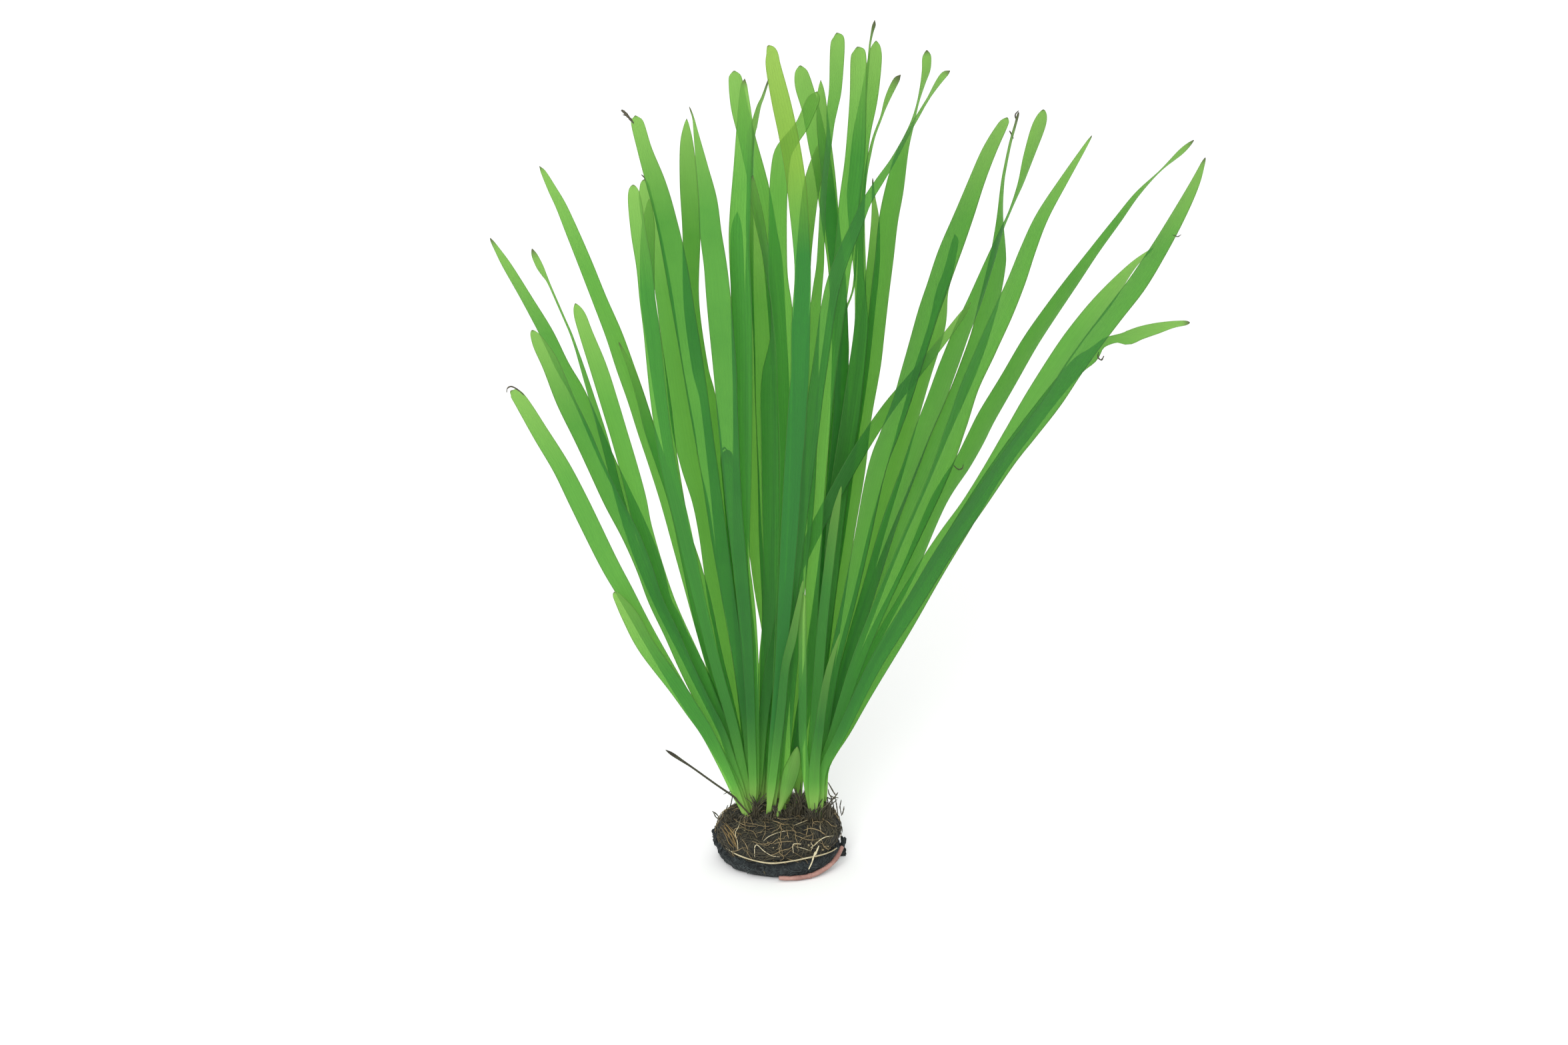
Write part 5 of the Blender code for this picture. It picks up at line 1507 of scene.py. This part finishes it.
# %% The tufts
# Each tuft: across, down, spread and rise in pixels of the picture plane
TUFTS = [
    (1201, 1222, 7, 48), (1134, 1224, 2.5, 36), (1166, 1224, 4, 20), (1185, 1222, 6, 15),
    (1092, 1230, 5, 14), (1222, 1230, 10, 30), (1240, 1226, 6, 30), (1152, 1230, 8, 13),
    (1114, 1230, 8, 11)]
FIBRES_A_TUFT = 60
FIBRE_RADIUS = 0.00020
LEAN_SHARE = 0.3
FIBRE_POINTS = 9
TUFT_SEED = 5

chance = np.random.default_rng(TUFT_SEED)
fibres = []
for across, down, spread, rise in TUFTS:
    for fibre in range(FIBRES_A_TUFT):
        offset = chance.normal(0, spread)
        height = PIXEL * rise * chance.uniform(0.35, 1.0) * math.exp(-(offset / (2 * spread)) ** 2)
        foot = place_on_ball(across + offset, down + chance.uniform(-4, 4), 0.0)
        lean = chance.normal(0, LEAN_SHARE, 2) * height
        knots = [foot, foot + (0.2 * lean[0], 0.5 * lean[1], 0.55 * height), foot + (*lean, height)]
        radii = tapered(FIBRE_POINTS, FIBRE_RADIUS * chance.uniform(0.7, 1.4), 0.4, 0.2, fibre)
        fibres.append((smooth_through(knots, FIBRE_POINTS), radii, chance.uniform(0, 1)))
make_tubes("crown_tufts", fibres, strand_finishes["loose"], sides=5)
print("fibres in the tufts:", len(fibres))

# %% Flakes and grains
def at_depth(trace, depth):
    """The points on the lines of sight of a trace that lie at one depth."""
    lines = sight_lines(*np.array(trace, float).T)
    return EYE + lines * ((depth - EYE[1]) / lines[:, 1])[:, None]


# Each flake: across, down, half width and half height in pixels of the picture plane
FLAKES = [
    (1077, 1247, 8, 11), (1078, 1261, 8, 9), (1084, 1273, 8, 8), (1094, 1283, 9, 6),
    (1108, 1291, 9, 5), (1124, 1297, 8, 5), (1140, 1302, 9, 5), (1152, 1306, 8, 4),
    (1265, 1262, 4, 8), (1264, 1275, 5, 9), (1260, 1288, 7, 6), (1250, 1297, 6, 4)]
GRAINS = [
    (1230, 1205, 1.5), (1244, 1206, 1.5), (1252, 1221, 1.7), (1234, 1275, 1.8),
    (1213, 1268, 1.2), (1222, 1281, 1.3), (1104, 1250, 1.0), (1242, 1270, 1.2),
    (1117, 1246, 1.2), (1152, 1264, 1.2), (1160, 1272, 1.0), (1200, 1267, 1.2)]
FLAKE_DEPTH = 5.0


def make_lumps(name, lumps, material, roughness, fineness):
    """Squashed and roughened balls as one piece. lumps has (place, three half sizes) for each."""
    shape = bmesh.new()
    for number, (place, sizes) in enumerate(lumps):
        made = bmesh.ops.create_icosphere(shape, subdivisions=fineness, radius=1.0)["verts"]
        for vert in made:
            seed = Vector((7.3 * number, 1.1, 2.7))
            broad, fine = noise.noise(vert.co * 1.6 + seed), noise.noise(vert.co * 4 + seed)
            push = 1 + roughness * (broad + 0.5 * fine)
            vert.co = Vector(place) + Vector(np.array(vert.co) * push * np.array(sizes))
            vert.co.z = max(vert.co.z, LEAST_HEIGHT)
    mesh = bpy.data.meshes.new(name)
    shape.to_mesh(mesh)
    shape.free()
    mesh.materials.append(material)
    add_piece(mesh)


flakes = [
    (place_on_ball(across, down, -0.5 * FLAKE_DEPTH * PIXEL),
     (wide * PIXEL, FLAKE_DEPTH * PIXEL, tall * PIXEL)) for across, down, wide, tall in FLAKES]
make_lumps("slate_flakes", flakes, mat_finish, roughness=0.7, fineness=3)
grains = [
    (place_on_ball(across, down, STRAND_LIFT), (size * PIXEL,) * 3)
    for across, down, size in GRAINS]
make_lumps("pale_grains", grains, strand_finishes["pale"],
           roughness=0.5, fineness=2)
print("flakes:", len(flakes), " grains:", len(grains))

# %% [markdown]
# ## Torn threads on the leaves
#
# A few leaves end in a dried thread or carry a torn hair. Each one starts from its leaf,
# so its depth is read from the blade's own point that lies nearest its line of sight.

# %% Threads
THREAD_POINTS = 24

# Each thread: leaf, radius in pixels, and its trace, of which the last point is on the leaf
THREADS = [
    ("leaf_01", 1.1, [(760, 589), (761, 583), (767, 580), (777, 585), (787, 594)]),
    ("leaf_12", 2.4, [(932, 165), (937, 169), (943, 176), (951, 185)]),
    ("leaf_12", 1.0, [(934, 172), (940, 174), (948, 180)]),
    ("leaf_38", 1.3, [(1514, 196), (1517, 201), (1520, 208)]),
    ("leaf_38", 1.0, [(1528, 166), (1523, 172), (1524, 180)]),
    ("leaf_43", 1.3, [(1648, 528), (1647, 536), (1652, 540), (1656, 534)]),
    ("leaf_41", 0.8, [(1772, 352), (1766, 355), (1758, 352)]),
    ("leaf_42", 1.0, [(1430, 698), (1437, 704), (1443, 703), (1445, 697)]),
    ("leaf_10", 1.0, [(962, 262), (966, 266), (969, 273)]),
    ("leaf_15", 1.2, [(1083, 676), (1087, 672), (1092, 678)])]


def depth_on_leaf(node, across, down):
    """How far back the blade's point nearest a line of sight lies."""
    places = np.array([vert.co for vert in blades[node].data.vertices]) - EYE
    way = unit(sight_lines([across], [down]))[0]
    apart = np.linalg.norm(places - np.outer(places @ way, way), axis=1)
    return places[apart.argmin(), 1] + EYE[1]


threads = []
for number, (node, wide, trace) in enumerate(THREADS):
    path = smooth_through(at_depth(trace, depth_on_leaf(node, *trace[-1])), THREAD_POINTS)
    threads.append((path, tapered(THREAD_POINTS, wide * PIXEL, 0.3, 0.3, number), 0.5))
make_tubes("torn_threads", threads, strand_finishes["loose"])
print("threads:", len(threads))

# %% [markdown]
# ## Floor, light and camera
#
# The plant stands on a plain white floor in an even white light that comes from all round,
# so that the leaves glow from behind. A soft lamp at the front, a little to the left, lights
# their skins, and a faint one above fills the shadows. The camera looks down a little and
# fills the picture with the fan.

# %% The floor
FLOOR_SIZE = 14.0
floor_shape = bmesh.new()
bmesh.ops.create_grid(floor_shape, x_segments=1, y_segments=1, size=FLOOR_SIZE / 2)
floor_mesh = bpy.data.meshes.new("floor")
floor_shape.to_mesh(floor_mesh)
floor_shape.free()
floor_finish, floor_tree, floor_output = new_material("pale_floor")
floor_skin = put(floor_tree, "ShaderNodeBsdfPrincipled", {
    "Base Color": (0.9, 0.9, 0.9, 1), "Roughness": 0.9, "Specular IOR Level": 0.1})
floor_tree.links.new(floor_skin.outputs[0], floor_output.inputs["Surface"])
floor_mesh.materials.append(floor_finish)
floor = bpy.data.objects.new("floor", floor_mesh)
bpy.context.scene.collection.objects.link(floor)


# %% Light
world = bpy.data.worlds.new("even_white")
bpy.context.scene.world = world
world.use_nodes = True
world.node_tree.nodes["Background"].inputs["Color"].default_value = (1, 1, 1, 1)
world.node_tree.nodes["Background"].inputs["Strength"].default_value = 0.95


def add_lamp(name, place, aim, size, power):
    """A square soft lamp that points from its place at an aim."""
    data = bpy.data.lights.new(name, "AREA")
    data.shape = "SQUARE"
    data.size = size
    data.energy = power
    lamp = bpy.data.objects.new(name, data)
    lamp.location = place
    lamp.rotation_euler = (Vector(aim) - Vector(place)).to_track_quat("-Z", "Y").to_euler()
    bpy.context.scene.collection.objects.link(lamp)


middle = (0.02, 0.0, 0.15)
add_lamp("front_left_lamp", (-0.5, -2.4, 1.3), middle, 1.4, 58.0)
add_lamp("top_lamp", (0.3, 0.8, 2.4), middle, 2.4, 10.0)

# %% Camera
SENSOR_WIDTH = 36.0
lens = SENSOR_WIDTH * VIEW_DISTANCE / (PICTURE_WIDTH * PIXEL)
camera_data = bpy.data.cameras.new("camera")
camera_data.sensor_width = SENSOR_WIDTH
camera_data.lens = lens
camera_data.clip_end = 100.0
camera = bpy.data.objects.new("camera", camera_data)
camera.location = EYE
camera.rotation_euler = (math.pi / 2 - VIEW_ELEVATION, 0, 0)
bpy.context.scene.collection.objects.link(camera)
bpy.context.scene.camera = camera
print("lens:", round(lens, 1), "mm")

# %% [markdown]
# ## How light is counted
#
# A ray from the camera may pass a dozen leaves, two skins each, before it reaches the
# white floor, so see-through surfaces get a high limit. The plain Standard view keeps
# white paper white.

# %% Ray limits and view
bpy.context.scene.cycles.transparent_max_bounces = 80
bpy.context.scene.cycles.max_bounces = 6
bpy.context.scene.view_settings.view_transform = "Standard"
